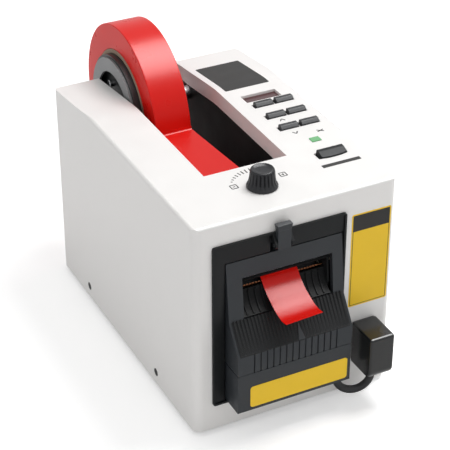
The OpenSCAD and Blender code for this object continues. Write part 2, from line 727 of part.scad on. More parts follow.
// Boards, panel and connectors
sink_w = 12;
sink_d = 18;
sink_h = 9;
chip_w = 14;
chip_h = 2;
coil_d = 20;
coil_h = 16;
cap_r = 5;
cap_h = 13;
module control_board() color([0.1, 0.35, 0.2]) {
    z = control_z + board_t;
    block([control_x0, control_y0, control_z], [control_x1, control_y1, z]);
    translate([control_x0 + 3, control_y0 + sink_w, z]) cube([sink_w, sink_d, sink_h]);
    translate([control_x0 + 4, control_y0 + 3*chip_w, z]) cube([chip_w, chip_w, chip_h]);
    block([control_x0 + 6, control_y1 - 2*coil_d, z], [control_x1 - 6, control_y1 - coil_d, z + coil_h]);
    for (i = [4, 7]) translate([control_x1 - 1.6*cap_r, control_y0 + i*cap_r, z])
        cylinder(h = cap_h, r = cap_r);
}
module key_board() color([0.1, 0.35, 0.2]) {
    block([board_x0, board_y0, board_z - board_t], [board_x1, board_y1, board_z]);
    for (p = concat([for (i = [0:5]) key_at(i)], [[keys_x, auto_y]])) translate(concat(p, [board_z]))
        block([-3, -3, 0], [3, 3, switch_h]);
    translate([keys_x - display_left, display_y, 0])
        block([2 - display_w/2, 1.5 - display_d/2, board_z],
            [display_w/2 - 2, display_d/2 - 1.5, inner_z + fit_gap]);
}
module display_window() color([0.25, 0.03, 0.03]) {
    translate([keys_x - display_left, display_y, 0])
        block([-display_w/2, -display_d/2, inner_z + fit_gap],
            [display_w/2, display_d/2, body_h - display_sink]);
}
module power_led() color([0.3, 0.75, 0.35]) {
    translate([keys_x, led_y, 0]) block([-led_w/2, -led_d/2, board_z], [led_w/2, led_d/2, body_h + 0.5]);
}
key_z = board_z + switch_h + key_travel + 0.15;
stop_z = inner_z - run_gap;
module key(i) translate(concat(key_at(i), [0])) {
    b = 0.8;
    hw = key_w/2;
    hd = key_d/2;
    z1 = body_h + key_h;
    intersection() {
        along_x(-hw, key_w) polygon([[-hd, key_z], [hd, key_z], [hd, z1 - b], [hd - b, z1],
            [b - hd, z1], [-hd, z1 - b]]);
        translate([0, hd, 0]) rotate([90, 0, 0]) linear_extrude(key_d) polygon([[-hw, key_z], [hw, key_z],
            [hw, z1 - b], [hw - b, z1], [b - hw, z1], [-hw, z1 - b]]);
    }
    block([2 - hw, -hd - 1.5, stop_z - 1.6], [hw - 2, hd + 1.5, stop_z]);
}
module key_1() color([0.22, 0.23, 0.25]) key(0);
module key_2() color([0.22, 0.23, 0.25]) key(1);
module key_3() color([0.22, 0.23, 0.25]) key(2);
module key_4() color([0.22, 0.23, 0.25]) key(3);
module key_5() color([0.22, 0.23, 0.25]) key(4);
module key_6() color([0.22, 0.23, 0.25]) key(5);
module auto_key() color([0.22, 0.23, 0.25]) translate([keys_x, auto_y, 0]) {
    translate([0, 0, key_z]) linear_extrude(body_h + key_h - key_z) polygon(auto_pts(0));
    block([2 - auto_w/2, -auto_d/2 - 2.9, stop_z - 1.6], [auto_w/2 - 2, auto_d/2 + 1.5, stop_z]);
}
module dial_pot() color([0.45, 0.46, 0.48]) translate([dial_x, dial_y, 0]) difference() {
    union() {
        translate([0, 0, inner_z - pot_h]) cylinder(h = pot_h, r = pot_r);
        translate([0, 0, inner_z - 1]) cylinder(h = wall + 2.2, r = bush_r);
    }
    translate([0, 0, inner_z - pot_h + 1]) cylinder(h = pot_h + wall + 2, r = dial_shaft_r + run_gap);
}
module dial_shaft() color([0.75, 0.76, 0.78]) translate([dial_x, dial_y, inner_z - pot_h + 1 + run_gap]) {
    cylinder(h = pot_h - 1 + wall + dial_h - 2.5, r = dial_shaft_r);
}
module dial_knob() color([0.2, 0.21, 0.23]) translate([dial_x, dial_y, body_h]) rotate_extrude() polygon([
    [bush_r + 0.6, 0.5], [dial_r, 0.5], [dial_r, 2], [dial_top_r + 1.2, 3.6], [dial_top_r + 0.3, 5.2],
    [dial_top_r, dial_h - 0.8], [dial_top_r - 0.8, dial_h], [0, dial_h], [0, dial_h - 2.5 + run_gap],
    [dial_shaft_r, dial_h - 2.5 + run_gap], [dial_shaft_r, 2.4], [bush_r + 0.6, 2.4]]);
module power_inlet() color([0.1, 0.1, 0.11]) {
    hw = inlet_w/2;
    difference() {
        translate([inlet_mid, 0, inlet_z]) union() {
            block([-hw, body_d, -hw], [hw, body_d + 1.5, hw]);
            block([2 - hw, body_d - 14, 2 - hw], [hw - 2, body_d + 0.5, hw - 2]);
        }
        translate([inlet_mid, body_d + 2, inlet_z]) rotate([90, 0, 0]) cylinder(h = 12, r = inlet_r);
    }
    translate([inlet_mid, body_d + 0.5, inlet_z]) rotate([90, 0, 0]) cylinder(h = 12, r = 0.9);
}
flange_t = 0.8;
module unit_socket() color([0.13, 0.13, 0.14]) translate([plug_mid, 0, socket_z]) difference() {
    union() {
        block([1 - plug_w/2, -flange_t, 1 - plug_h/2], [plug_w/2 - 1, 0, plug_h/2 - 1]);
        block([-socket_w/2, -flange_t, -socket_h/2], [socket_w/2, shell_l + 4, socket_h/2]);
    }
    block([-shell_w/2 - slide_gap, -flange_t - over, -shell_h/2 - slide_gap],
        [shell_w/2 + slide_gap, shell_l + 1, shell_h/2 + slide_gap]);
}

// Feed and cutter unit
// A point on the ramp: share of the way up from the nose, and depth below its face
ramp_dir = unit([nose_reach - bar_lean, ramp_top_z - nose_z]);
function ramp_pt(share, deep) = [-nose_reach, nose_z]
    + share*[nose_reach - bar_lean, ramp_top_z - nose_z] + deep*[ramp_dir[1], -ramp_dir[0]];
module unit_shell() color([0.2, 0.21, 0.23]) difference() {
    along_x(unit_x0, unit_w) polygon([[0, unit_z1], [-bar_lean, ramp_top_z], [-nose_reach, nose_z],
        [-nose_reach, seam_z], [shell_rear, seam_z], [shell_rear, unit_z1]]);
    along_x(unit_x0 + unit_wall, unit_w - 2*unit_wall) polygon([[front_wall, shell_roof],
        [front_wall - bar_lean, ramp_top_z - 0.5], [front_wall - nose_reach, nose_z - 1.2],
        [front_wall - nose_reach, shell_floor], [shell_rear + over, shell_floor],
        [shell_rear + over, shell_roof]]);
    block([window_x0, -nose_reach, ramp_top_z], [window_x1, front_wall + over, window_top]);
    block([tape_x - 20, web_start[0] - 6, shell_roof - over],
        [tape_x + 20, web_start[0] + 3.5, unit_z1 + over]);
    for (i = [0:13]) translate([tape_x + (i - 6.5)*rib_pitch, -nose_reach, 0])
        block([-groove_w/2, -over, seam_z - over], [groove_w/2, groove_d, nose_z]);
    for (i = [0:13]) along_x(tape_x + (i - 6.5)*rib_pitch - groove_w/2, groove_w)
        polygon([ramp_pt(-0.5, -over), ramp_pt(1.2, -over), ramp_pt(1.2, groove_d), ramp_pt(-0.5, groove_d)]);
}
cover_front = 0.4 - nose_reach;
module unit_lower_cover() color([0.17, 0.18, 0.2]) {
    z1 = seam_z - seam_t;
    difference() {
        block([unit_x0, cover_front, unit_z0], [unit_x1, unit_d, z1]);
        block([unit_x0 + unit_wall, cover_front + unit_wall, unit_z0 + unit_wall],
            [unit_x1 - unit_wall, unit_d - unit_wall, z1 + over]);
    }
    for (x = [unit_x0 + 7, unit_x1 - 7]) for (y = [cover_front + 7, shell_rear - 6])
        translate([x, y, unit_z0 + unit_wall/2]) cylinder(h = seam_h - unit_wall/2, r = 3);
    translate([gland_x, gland_y, unit_z0 - 3]) difference() {
        cylinder(h = 3 + unit_wall/2, r = lead_d/2 + 1.6);
        translate([0, 0, -over]) cylinder(h = 3 + over, r = lead_d/2 + fit_gap);
    }
}
module unit_back() color([0.17, 0.18, 0.2]) {
    block([unit_x0, shell_rear, seam_z], [unit_x1, unit_d, unit_z1]);
}
carrier_u0 = -carrier_t + run_gap;
carrier_v0 = -17.5;
carrier_v1 = -7;
tongue_v1 = -12;
module plate(x) difference() {
    along_x(x, plate_t) polygon([[front_wall + 0.7, shell_roof - fit_gap], [0.6, ramp_top_z + 7],
        [8, shell_floor], [plate_rear, shell_floor], [plate_rear, shell_roof - fit_gap]]);
    rod(x - over, plate_t + 2*over, feed_c, shaft_r + run_gap);
    rod(x - over, plate_t + 2*over, pinch_c, shaft_r + run_gap);
    on_path() block([x - over, carrier_u0 - fit_gap, carrier_v0 - fit_gap],
        [x + plate_t + over, run_gap + fit_gap, tongue_v1 + stroke + slide_gap]);
    children();
}
module plate_left() color([0.66, 0.67, 0.69]) plate(left_plate_x)
    rod(left_plate_x - over, plate_t + 2*over, crank_c, motor_shaft_r + run_gap);
module plate_right() color([0.66, 0.67, 0.69]) plate(right_plate_x)
    rod(right_plate_x - over, plate_t + 2*over, motor_c, motor_shaft_r + run_gap);
module feed_roller() color([0.12, 0.12, 0.12]) difference() {
    rod(span_x0 + roller_gap, span_w - 2*roller_gap, feed_c, feed_r);
    rod(span_x0, span_w, feed_c, shaft_r);
}
module feed_shaft() color([0.75, 0.76, 0.78]) {
    rod(left_plate_x - 0.8, gear_x + gear_t + 0.4 - left_plate_x + 0.8, feed_c, shaft_r);
}
module feed_gear() color([0.9, 0.88, 0.8]) difference() {
    translate([0, feed_c[0], feed_c[1]]) along_x(gear_x, gear_t) rotate(motor_a) polygon(gear_pts(gear_n));
    rod(gear_x - over, gear_t + 2*over, feed_c, shaft_r);
}
module pinch_roller() color([0.3, 0.3, 0.31]) difference() {
    rod(span_x0 + roller_gap, span_w - 2*roller_gap, pinch_c, pinch_r);
    rod(span_x0, span_w, pinch_c, shaft_r);
}
module pinch_shaft() color([0.75, 0.76, 0.78]) {
    rod(left_plate_x - 0.8, span_w + 2*plate_t + 0.8, pinch_c, shaft_r);
}
bore_l = 9;
module feed_motor() color([0.6, 0.61, 0.63]) difference() {
    union() {
        rod(span_x1 - motor_l, motor_l, motor_c, motor_r);
        rod(span_x1 - motor_l - 2, 3, motor_c, motor_r/2);
    }
    rod(span_x1 - bore_l, bore_l + over, motor_c, motor_shaft_r + run_gap);
}
module motor_pinion() color([0.8, 0.66, 0.3]) {
    translate([0, motor_c[0], motor_c[1]]) along_x(gear_x, gear_t) rotate(motor_a + 180 + 180/pinion_n)
        polygon(gear_pts(pinion_n));
    rod(span_x1 - bore_l + 1, gear_x + 1 - span_x1 + bore_l - 1, motor_c, motor_shaft_r);
}
module cutter_motor() color([0.6, 0.61, 0.63]) difference() {
    union() {
        rod(span_x0, motor_l, crank_c, motor_r);
        rod(span_x0 + motor_l - 1, 3, crank_c, motor_r/2);
    }
    rod(span_x0 - over, bore_l + over, crank_c, motor_shaft_r + run_gap);
}
pin_c = crank_c + polar(crank_throw, path_a - crank_half);
module cutter_crank() color([0.7, 0.71, 0.73]) {
    rod(crank_x, crank_t, crank_c, crank_r);
    rod(crank_x + crank_t/2, span_x0 + bore_l - 1 - crank_x - crank_t/2, crank_c, motor_shaft_r);
    rod(yoke_x, crank_x + crank_t/2 - yoke_x, pin_c, crank_pin_r);
}
slot_r = crank_pin_r + slide_gap;
pin_u = crank_u + crank_throw*cos(crank_half);
pin_v = -crank_v - crank_throw*sin(crank_half);
module blade_carrier() color([0.3, 0.31, 0.33]) on_path() {
    block([blade_x0, carrier_u0, carrier_v0], [blade_x0 + blade_w, run_gap, carrier_v1]);
    block([yoke_x, carrier_u0, carrier_v0], [blade_x0 + over, run_gap, tongue_v1]);
    block([blade_x0 + blade_w - over, carrier_u0, carrier_v0], [right_plate_x + plate_t, run_gap, tongue_v1]);
    difference() {
        block([yoke_x, pin_u - 5, pin_v - crank_pin_r - 3], [yoke_x + yoke_t, pin_u + 5.8, tongue_v1]);
        block([yoke_x - over, pin_u - slot_r, pin_v - slot_r],
            [yoke_x + yoke_t + over, crank_u + crank_throw + slot_r, pin_v + slot_r]);
    }
}
module moving_blade() color([0.78, 0.79, 0.81]) on_path() {
    block([blade_x0, run_gap, -blade_open - blade_h], [blade_x0 + blade_w, run_gap + blade_t, -blade_open]);
}
fixed_v0 = tape_t + fixed_gap;
module fixed_blade() color([0.78, 0.79, 0.81]) on_path() {
    block([blade_x0, -run_gap - blade_t, fixed_v0], [blade_x0 + blade_w, -run_gap, fixed_v0 + fixed_h]);
}
module blade_holder() color([0.14, 0.15, 0.16]) on_path() {
    v1 = fixed_v0 + fixed_h;
    block([span_x0, -run_gap - blade_t - holder_t, v1 - holder_h], [span_x1, -run_gap - blade_t, v1]);
}
// Comb under the tape, in front of the blade carrier
comb_t = 0.7;
comb_u = carrier_u0 - 1.45;
comb_v = -0.9;
comb_base = 1.6;
comb_n = floor(span_w/tooth_pitch/2) - 2;
module stripper_comb() color([0.72, 0.4, 0.22]) on_path() {
    v0 = comb_v - tooth_h;
    block([span_x0, comb_u, v0 - comb_base], [span_x1, comb_u + comb_t, v0]);
    for (i = [-comb_n:comb_n]) translate([tape_x + i*tooth_pitch, 0, 0])
        block([-tooth_w/2, comb_u, v0 - comb_base/2], [tooth_w/2, comb_u + comb_t, comb_v]);
}
chute_r = 17;
chute_t = 1.4;
chute_c = [-bar_lean - 7.24, ramp_top_z + chute_r - 0.02];
chute_a = [-64, -5];
module tape_chute() color([0.1, 0.1, 0.11]) {
    along_x(span_x0, span_w) polygon(concat(arc(chute_c, chute_r, chute_a[0], chute_a[1], 10),
        arc(chute_c, chute_r + chute_t, chute_a[1], chute_a[0], 10)));
    for (i = [0:12]) along_x(tape_x + (i - 6)*rib_pitch - 0.5, 1)
        polygon(concat(arc(chute_c, chute_r - 0.8, chute_a[0] + 3, chute_a[1] - 3, 10),
            arc(chute_c, chute_r + 0.2, chute_a[1] - 3, chute_a[0] + 3, 10)));
}
sensor_w = 10;
sensor_h = 7;
module tape_sensor() color([0.16, 0.16, 0.18]) difference() {
    z0 = ramp_top_z + 3;
    block([tape_x - sensor_w/2, 1, z0], [tape_x + sensor_w/2, 9, z0 + sensor_h]);
    along_x(tape_x - sensor_w, 2*sensor_w)
        polygon(concat([chute_c], arc(chute_c, chute_r + chute_t + slide_gap, chute_a[0] - 10,
            chute_a[1], 10)));
}
module tape_strip() color([0.86, 0.13, 0.11]) on_path() {
    block([tape_x - tape_w/2, 1.6, 0], [tape_x + tape_w/2, (unit_z1 - 0.8 - cut_z)/sin(path_a), tape_t]);
}
module tape_tail() color([0.86, 0.13, 0.11]) {
    free = [[-tail_reach, -16.3], [-20, -16.8], [-14, -15.2], [-8.5, -12.8], [-3.5, -10.4], [1.5, -7.2],
        [5, -3.6]];
    root = path_pt(-0.25, 0);
    rows = concat([for (q = free) [q[0], cut_z + q[1], tape_x]], [[root[0], root[1], tape_x]]);
    sheet(rows, tape_w, tape_t);
}

// Plug and its lead
plug_y = -flange_t - 0.1;
module plug_body() color([0.16, 0.17, 0.18]) {
    y0 = plug_y - plug_l;
    z1 = plug_z + plug_h;
    along_x(plug_mid - plug_w/2, plug_w) polygon(concat([[plug_y, plug_z], [plug_y, z1]],
        arc([y0 + 2, z1 - 2], 2, 90, 180, 4), arc([y0 + 6, plug_z + 6], 6, 180, 270, 6)));
}
module plug_shell() color([0.75, 0.76, 0.78]) translate([plug_mid, plug_y, socket_z]) difference() {
    block([-shell_w/2, 0, -shell_h/2], [shell_w/2, shell_l, shell_h/2]);
    block([0.8 - shell_w/2, 1, 0.8 - shell_h/2], [shell_w/2 - 0.8, shell_l + over, shell_h/2 - 0.8]);
}
// Route of the lead: share of the way from plug to unit, and drop below its ends
lead_run = [[0, 0], [0, 4.3], [0.02, 7.3], [0.07, 10.1], [0.15, 12.6], [0.25, 14.4], [0.37, 15.6], [0.5, 16],
    [0.63, 15.6], [0.75, 14.4], [0.85, 12.6], [0.93, 10.1], [0.98, 7.3], [1, 4.3], [1, 0]];
module plug_lead() color([0.1, 0.1, 0.11]) {
    from = [plug_mid, lead_exit_y, plug_z];
    to = [gland_x, gland_y, unit_z0];
    tube([for (p = lead_run) from + (to - from)*p[0] - [0, 0, p[1]]], lead_d/2, 10);
}

translate([0, frame_y, foot_h]) {
    housing_cover();
    base_plate();
    rubber_feet();
    case_screws();
    tape_chassis();
    front_bezel();
    latch_pin();
    release_latch();
    reel_axle();
    reel_hub();
    hub_disc();
    tape_core();
    tape_roll();
    guide_shaft();
    guide_roller();
    tape_web();
    unit_rails();
    control_board();
    key_board();
    display_window();
    power_led();
    dial_pot();
    dial_shaft();
    dial_knob();
    key_1();
    key_2();
    key_3();
    key_4();
    key_5();
    key_6();
    auto_key();
    power_inlet();
    unit_socket();
    unit_shell();
    unit_lower_cover();
    unit_back();
    plate_left();
    plate_right();
    feed_roller();
    feed_shaft();
    feed_gear();
    pinch_roller();
    pinch_shaft();
    feed_motor();
    motor_pinion();
    cutter_motor();
    cutter_crank();
    blade_carrier();
    moving_blade();
    fixed_blade();
    blade_holder();
    stripper_comb();
    tape_chute();
    tape_sensor();
    tape_strip();
    tape_tail();
    plug_body();
    plug_shell();
    plug_lead();
}
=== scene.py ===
import json
import math

import bmesh
import bpy
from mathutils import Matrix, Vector


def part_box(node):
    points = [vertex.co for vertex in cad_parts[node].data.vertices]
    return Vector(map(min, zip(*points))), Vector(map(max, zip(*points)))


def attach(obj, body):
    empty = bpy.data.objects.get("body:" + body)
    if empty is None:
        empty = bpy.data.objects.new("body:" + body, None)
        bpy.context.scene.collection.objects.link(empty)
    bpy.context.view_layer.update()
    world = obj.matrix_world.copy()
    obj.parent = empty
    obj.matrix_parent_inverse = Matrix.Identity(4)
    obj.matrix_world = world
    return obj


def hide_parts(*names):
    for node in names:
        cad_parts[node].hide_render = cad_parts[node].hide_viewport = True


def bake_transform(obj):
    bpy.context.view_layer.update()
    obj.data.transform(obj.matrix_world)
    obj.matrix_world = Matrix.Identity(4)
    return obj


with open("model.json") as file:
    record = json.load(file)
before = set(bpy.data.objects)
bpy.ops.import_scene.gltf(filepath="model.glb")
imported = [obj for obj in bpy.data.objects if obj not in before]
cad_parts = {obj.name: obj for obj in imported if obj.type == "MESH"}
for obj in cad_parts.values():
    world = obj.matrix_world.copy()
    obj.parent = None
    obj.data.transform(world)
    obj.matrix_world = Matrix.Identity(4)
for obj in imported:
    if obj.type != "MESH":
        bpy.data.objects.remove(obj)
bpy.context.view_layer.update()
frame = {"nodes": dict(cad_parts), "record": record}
print("frame loaded", len(frame["nodes"]), "nodes")

frontY, rimZ = 115, 3  # how far the frame's origin lies behind the front face and below the lower rim, mm
topFace = 151.0  # height of the flat top above the lower rim, mm
near = 0.0001  # m, for telling places apart
facing = 0.9  # a face looks along an axis when its normal has this much of it
weldGap = 0.000002  # m, corners this close become one
flatTurn = math.radians(0.4)  # faces that differ by less become one
smoothTurn = math.radians(32)  # edges that turn by less are shaded smooth


# drawing sizes are in mm: x from the middle, y back from the front face, z up from the lower rim
def mm(x, y, z):
    return Vector((x / 1000, (y - frontY) / 1000, (z + rimZ) / 1000))


def clearSelection():
    if bpy.context.object and bpy.context.object.mode != "OBJECT":
        bpy.ops.object.mode_set(mode="OBJECT")
    bpy.ops.object.select_all(action="DESELECT")


def pick(piece):
    clearSelection()
    piece.select_set(True)
    bpy.context.view_layer.objects.active = piece


def setInputs(node, values):
    for name, value in values.items():
        node.inputs[name].default_value = value


# camera fitted to the photo
view = {
    "place": (-0.4093, -0.8302, 0.6555),
    "turn": (57.88, 0.0, -26.73),
    "lens": 129.35,
    "sensor": 36,
    "clip": 0.05,
}
cameraData = bpy.data.cameras.new("photoCamera")
cameraData.lens = view["lens"]
cameraData.sensor_width = view["sensor"]
cameraData.clip_start = view["clip"]
camera = bpy.data.objects.new("photoCamera", cameraData)
camera.location = view["place"]
camera.rotation_euler = [math.radians(a) for a in view["turn"]]
bpy.context.collection.objects.link(camera)
bpy.context.scene.camera = camera
bpy.context.scene.view_settings.view_transform = "Standard"

# what a finish has unless its own look says otherwise
plainLook = {"metal": 0.0, "specular": 0.5, "coat": 0.0, "coatRough": 0.1, "mottleScale": 60, "spread": 0.05,
             "roughSpread": 0.05, "grain": 0.1, "grainScale": 1500, "grainDepth": 0.0001}


# finishes: colour, roughness and grain come from noise on Object coordinates
def makeFinish(name, ownLook):
    look = {**plainLook, **ownLook}
    finish = bpy.data.materials.new(name)
    finish.use_nodes = True
    nodes, links = finish.node_tree.nodes, finish.node_tree.links
    shader = nodes["Principled BSDF"]
    setInputs(shader, {"Metallic": look["metal"], "Specular IOR Level": look["specular"],
                       "Coat Weight": look["coat"], "Coat Roughness": look["coatRough"]})
    place = nodes.new("ShaderNodeTexCoord")
    mottle = nodes.new("ShaderNodeTexNoise")
    setInputs(mottle, {"Scale": look["mottleScale"], "Detail": 4})
    links.new(place.outputs["Object"], mottle.inputs["Vector"])
    tint = nodes.new("ShaderNodeMix")
    tint.data_type = "RGBA"
    tint.inputs["A"].default_value = [c * (1 - look["spread"]) for c in look["colour"]] + [1]
    tint.inputs["B"].default_value = [min(1.0, c * (1 + look["spread"])) for c in look["colour"]] + [1]
    links.new(mottle.outputs["Fac"], tint.inputs["Factor"])
    links.new(tint.outputs["Result"], shader.inputs["Base Color"])
    shine = nodes.new("ShaderNodeMapRange")
    setInputs(shine, {"From Min": 0.3, "From Max": 0.7,
                      "To Min": max(0.02, look["rough"] - look["roughSpread"]),
                      "To Max": look["rough"] + look["roughSpread"]})
    links.new(mottle.outputs["Fac"], shine.inputs["Value"])
    links.new(shine.outputs["Result"], shader.inputs["Roughness"])
    grain = nodes.new("ShaderNodeTexNoise")
    setInputs(grain, {"Scale": look["grainScale"], "Detail": 2})
    links.new(place.outputs["Object"], grain.inputs["Vector"])
    bump = nodes.new("ShaderNodeBump")
    setInputs(bump, {"Strength": look["grain"], "Distance": look["grainDepth"]})
    links.new(grain.outputs["Fac"], bump.inputs["Height"])
    links.new(bump.outputs["Normal"], shader.inputs["Normal"])
    return finish


looks = {
    "white_paint": {"colour": (0.9, 0.885, 0.868), "rough": 0.42, "spread": 0.012, "grain": 0.06,
                    "grainScale": 900},
    "zinc_steel": {"colour": (0.55, 0.56, 0.58), "rough": 0.38, "metal": 0.9, "grain": 0.15,
                   "mottleScale": 140},
    "bright_steel": {"colour": (0.72, 0.73, 0.75), "rough": 0.22, "metal": 1.0, "grain": 0.05},
    "rubber": {"colour": (0.022, 0.022, 0.024), "rough": 0.62, "grain": 0.3, "spread": 0.12},
    "black_plastic": {"colour": (0.016, 0.017, 0.019), "rough": 0.5, "specular": 0.35, "grain": 0.25,
                      "spread": 0.1},
    "bezelBlack": {"colour": (0.011, 0.0125, 0.0135), "rough": 0.42, "specular": 0.2, "grain": 0.2,
                   "spread": 0.08},
    # painted shade: a darker black for the parts deep inside the unit and the housing, so that they read as
    # lying in shade
    "innerShadeBlack": {"colour": (0.007, 0.0075, 0.008), "rough": 0.6, "specular": 0.15, "grain": 0.25,
                   "spread": 0.1},
    "rampBlack": {"colour": (0.011, 0.012, 0.013), "rough": 0.5, "specular": 0.24, "grain": 0.25,
                  "spread": 0.1},
    "hubBlack": {"colour": (0.017, 0.018, 0.019), "rough": 0.36, "grain": 0.15, "spread": 0.08},
    "plugGloss": {"colour": (0.013, 0.0135, 0.014), "rough": 0.24, "coat": 0.12, "specular": 0.42,
                  "grain": 0.08, "spread": 0.1},
    "dark_plastic": {"colour": (0.027, 0.031, 0.036), "rough": 0.46, "specular": 0.38, "grain": 0.22,
                     "spread": 0.08},
    "key_plastic": {"colour": (0.032, 0.033, 0.036), "rough": 0.38, "specular": 0.26, "grain": 0.12,
                    "spread": 0.08},
    "largeKeyBlack": {"colour": (0.021, 0.022, 0.024), "rough": 0.4, "specular": 0.11, "grain": 0.12,
                      "spread": 0.08},
    "knobBlack": {"colour": (0.03, 0.031, 0.034), "rough": 0.27, "specular": 0.2, "grain": 0.12,
                  "spread": 0.08},
    "grey_plastic": {"colour": (0.2, 0.205, 0.21), "rough": 0.34, "grain": 0.1},
    "core_board": {"colour": (0.33, 0.245, 0.18), "rough": 0.8, "grain": 0.5, "grainScale": 500,
                   "spread": 0.15},
    "circuit_board": {"colour": (0.02, 0.12, 0.05), "rough": 0.4, "spread": 0.15},
    "red_window": {"colour": (0.07, 0.006, 0.009), "rough": 0.12, "coat": 0.6, "spread": 0.1, "grain": 0.0},
    "green_light": {"colour": (0.16, 0.5, 0.2), "rough": 0.25, "coat": 0.4, "spread": 0.1},
    "gear_plastic": {"colour": (0.78, 0.75, 0.64), "rough": 0.45, "grain": 0.08},
    "brass": {"colour": (0.7, 0.5, 0.2), "rough": 0.3, "metal": 1.0, "grain": 0.08},
    "copper_comb": {"colour": (0.34, 0.14, 0.065), "rough": 0.35, "metal": 0.7, "grain": 0.1, "spread": 0.15},
    "blade_steel": {"colour": (0.66, 0.67, 0.69), "rough": 0.28, "metal": 1.0, "grain": 0.1},
    "red_tape": {"colour": (0.74, 0.008, 0.004), "rough": 0.26, "roughSpread": 0.012, "specular": 0.21,
                 "spread": 0.015, "grain": 0.03},
    "printYellow": {"colour": (0.94, 0.61, 0.03), "rough": 0.4, "specular": 0.25, "spread": 0.05,
                    "grain": 0.03},
    "printDark": {"colour": (0.045, 0.044, 0.043), "rough": 0.5, "specular": 0.14, "spread": 0.08,
                  "grain": 0.03},
}
finishes = {name: makeFinish(name, look) for name, look in looks.items()}
print("finishes made", len(finishes))


def finishPiece(piece, body, slotName, *nodes, finish=None):
    piece.data.materials.clear()
    piece.data.materials.append(finish or finishes[slotName])
    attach(piece, body)
    if nodes:
        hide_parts(*nodes)


def roundEdges(piece, width, segments=2, angle=35):
    pick(piece)
    edge = piece.modifiers.new("roundEdges", "BEVEL")
    edge.width = width / 1000
    edge.segments = segments
    edge.limit_method = "ANGLE"
    edge.angle_limit = math.radians(angle)
    bpy.ops.object.modifier_apply(modifier=edge.name)
    bpy.ops.object.shade_smooth_by_angle(angle=smoothTurn)
    even = piece.modifiers.new("evenNormals", "WEIGHTED_NORMAL")  # flat faces stay flat beside round edges
    even.keep_sharp = True
    bpy.ops.object.modifier_apply(modifier=even.name)


# a merged copy of a CAD node, left active
def mergedCopy(node, name):
    clearSelection()
    piece = bpy.data.objects.new(name, frame["nodes"][node].data.copy())
    bpy.context.collection.objects.link(piece)
    pick(piece)
    bpy.ops.object.mode_set(mode="EDIT")
    bpy.ops.mesh.select_all(action="SELECT")
    bpy.ops.mesh.remove_doubles(threshold=weldGap)
    bpy.ops.mesh.dissolve_limited(angle_limit=flatTurn)
    bpy.ops.object.mode_set(mode="OBJECT")
    if piece.data.has_custom_normals:
        bpy.ops.mesh.customdata_custom_splitnormals_clear()
    return piece


# the same, with its sharp edges broken
def smoothCopy(node, name, width, segments=2):
    piece = mergedCopy(node, name)
    roundEdges(piece, width, segments)
    return piece


def addBlock(name, lo, hi):
    clearSelection()
    a, b = mm(*lo), mm(*hi)
    bpy.ops.mesh.primitive_cube_add(size=1, location=(a + b) / 2)
    block = bpy.context.object
    block.name = name
    block.scale = b - a
    bpy.ops.object.transform_apply(location=True, rotation=True, scale=True)
    return block


def joinTo(main, *others):
    clearSelection()
    for piece in (main, *others):
        piece.select_set(True)
    bpy.context.view_layer.objects.active = main
    bpy.ops.object.join()
    return main


# faces, edges or places of the active mesh that pass a test, selected in edit mode
def selectFaces(piece, test):
    bpy.ops.mesh.select_mode(type="FACE")
    bpy.ops.mesh.select_all(action="DESELECT")
    cage = bmesh.from_edit_mesh(piece.data)
    for face in cage.faces:
        face.select_set(test(face))
    bmesh.update_edit_mesh(piece.data)


def selectEdges(piece, test):
    bpy.ops.mesh.select_mode(type="EDGE")
    bpy.ops.mesh.select_all(action="DESELECT")
    cage = bmesh.from_edit_mesh(piece.data)
    for edge in cage.edges:
        edge.select_set(test(edge))
    bmesh.update_edit_mesh(piece.data)


def selectVerts(piece, test):
    bpy.ops.mesh.select_mode(type="VERT")
    bpy.ops.mesh.select_all(action="DESELECT")
    cage = bmesh.from_edit_mesh(piece.data)
    for vert in cage.verts:
        vert.select_set(test(vert.co))
    cage.select_flush_mode()
    bmesh.update_edit_mesh(piece.data)


def outwardNormals():
    bpy.ops.mesh.select_all(action="SELECT")
    bpy.ops.mesh.normals_make_consistent(inside=False)


# short lead from the plug back into the unit: each point is a share of the way and a drop below it
lead = {
    "start": (49.8, -13.0, 21.0),
    "end": (27.4, -6.2, 20.5),
    "diameter": 5.2,
    "run": [(0, 0), (0, 4.3), (0.02, 7.3), (0.07, 10.1), (0.15, 12.6), (0.25, 14.4), (0.37, 15.6), (0.5, 16),
            (0.63, 15.6), (0.75, 14.4), (0.85, 12.6), (0.93, 10.1), (0.98, 7.3), (1, 4.3), (1, 0)],
}
leadStart, leadEnd = Vector(lead["start"]), Vector(lead["end"])
leadPoints = [mm(*(leadStart.lerp(leadEnd, share) - Vector((0, 0, drop)))) for share, drop in lead["run"]]
leadCurve = bpy.data.curves.new("plugLead", "CURVE")
leadCurve.dimensions = "3D"
leadSpline = leadCurve.splines.new("NURBS")
leadSpline.points.add(len(leadPoints) - 1)
for point, place in zip(leadSpline.points, leadPoints):
    point.co = (*place, 1)
leadSpline.use_endpoint_u = True
leadSpline.order_u = 3
leadSpline.resolution_u = 6
plugLead = bpy.data.objects.new("plugLead", leadCurve)
bpy.context.collection.objects.link(plugLead)
bpy.context.view_layer.update()
leadLine = plugLead.evaluated_get(bpy.context.evaluated_depsgraph_get())
leadPath = [tuple(vert.co) for vert in leadLine.to_mesh().vertices]
leadLine.to_mesh_clear()
leadCurve.bevel_depth = lead["diameter"] / 2000
leadCurve.bevel_resolution = 5
leadCurve.use_fill_caps = True
pick(plugLead)
bpy.ops.object.convert(target="MESH")
bpy.ops.object.shade_smooth_by_angle(angle=math.radians(40))
plugLead.data.materials.clear()
plugLead.data.materials.append(finishes["rubber"])
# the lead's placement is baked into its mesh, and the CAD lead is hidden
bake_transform(plugLead)
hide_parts("plug_lead")

# housing
housing = {"edge": 0.5}
housingCover = smoothCopy("housing_cover", "housingCover", housing["edge"])
finishPiece(housingCover, "housing", "white_paint", "housing_cover")

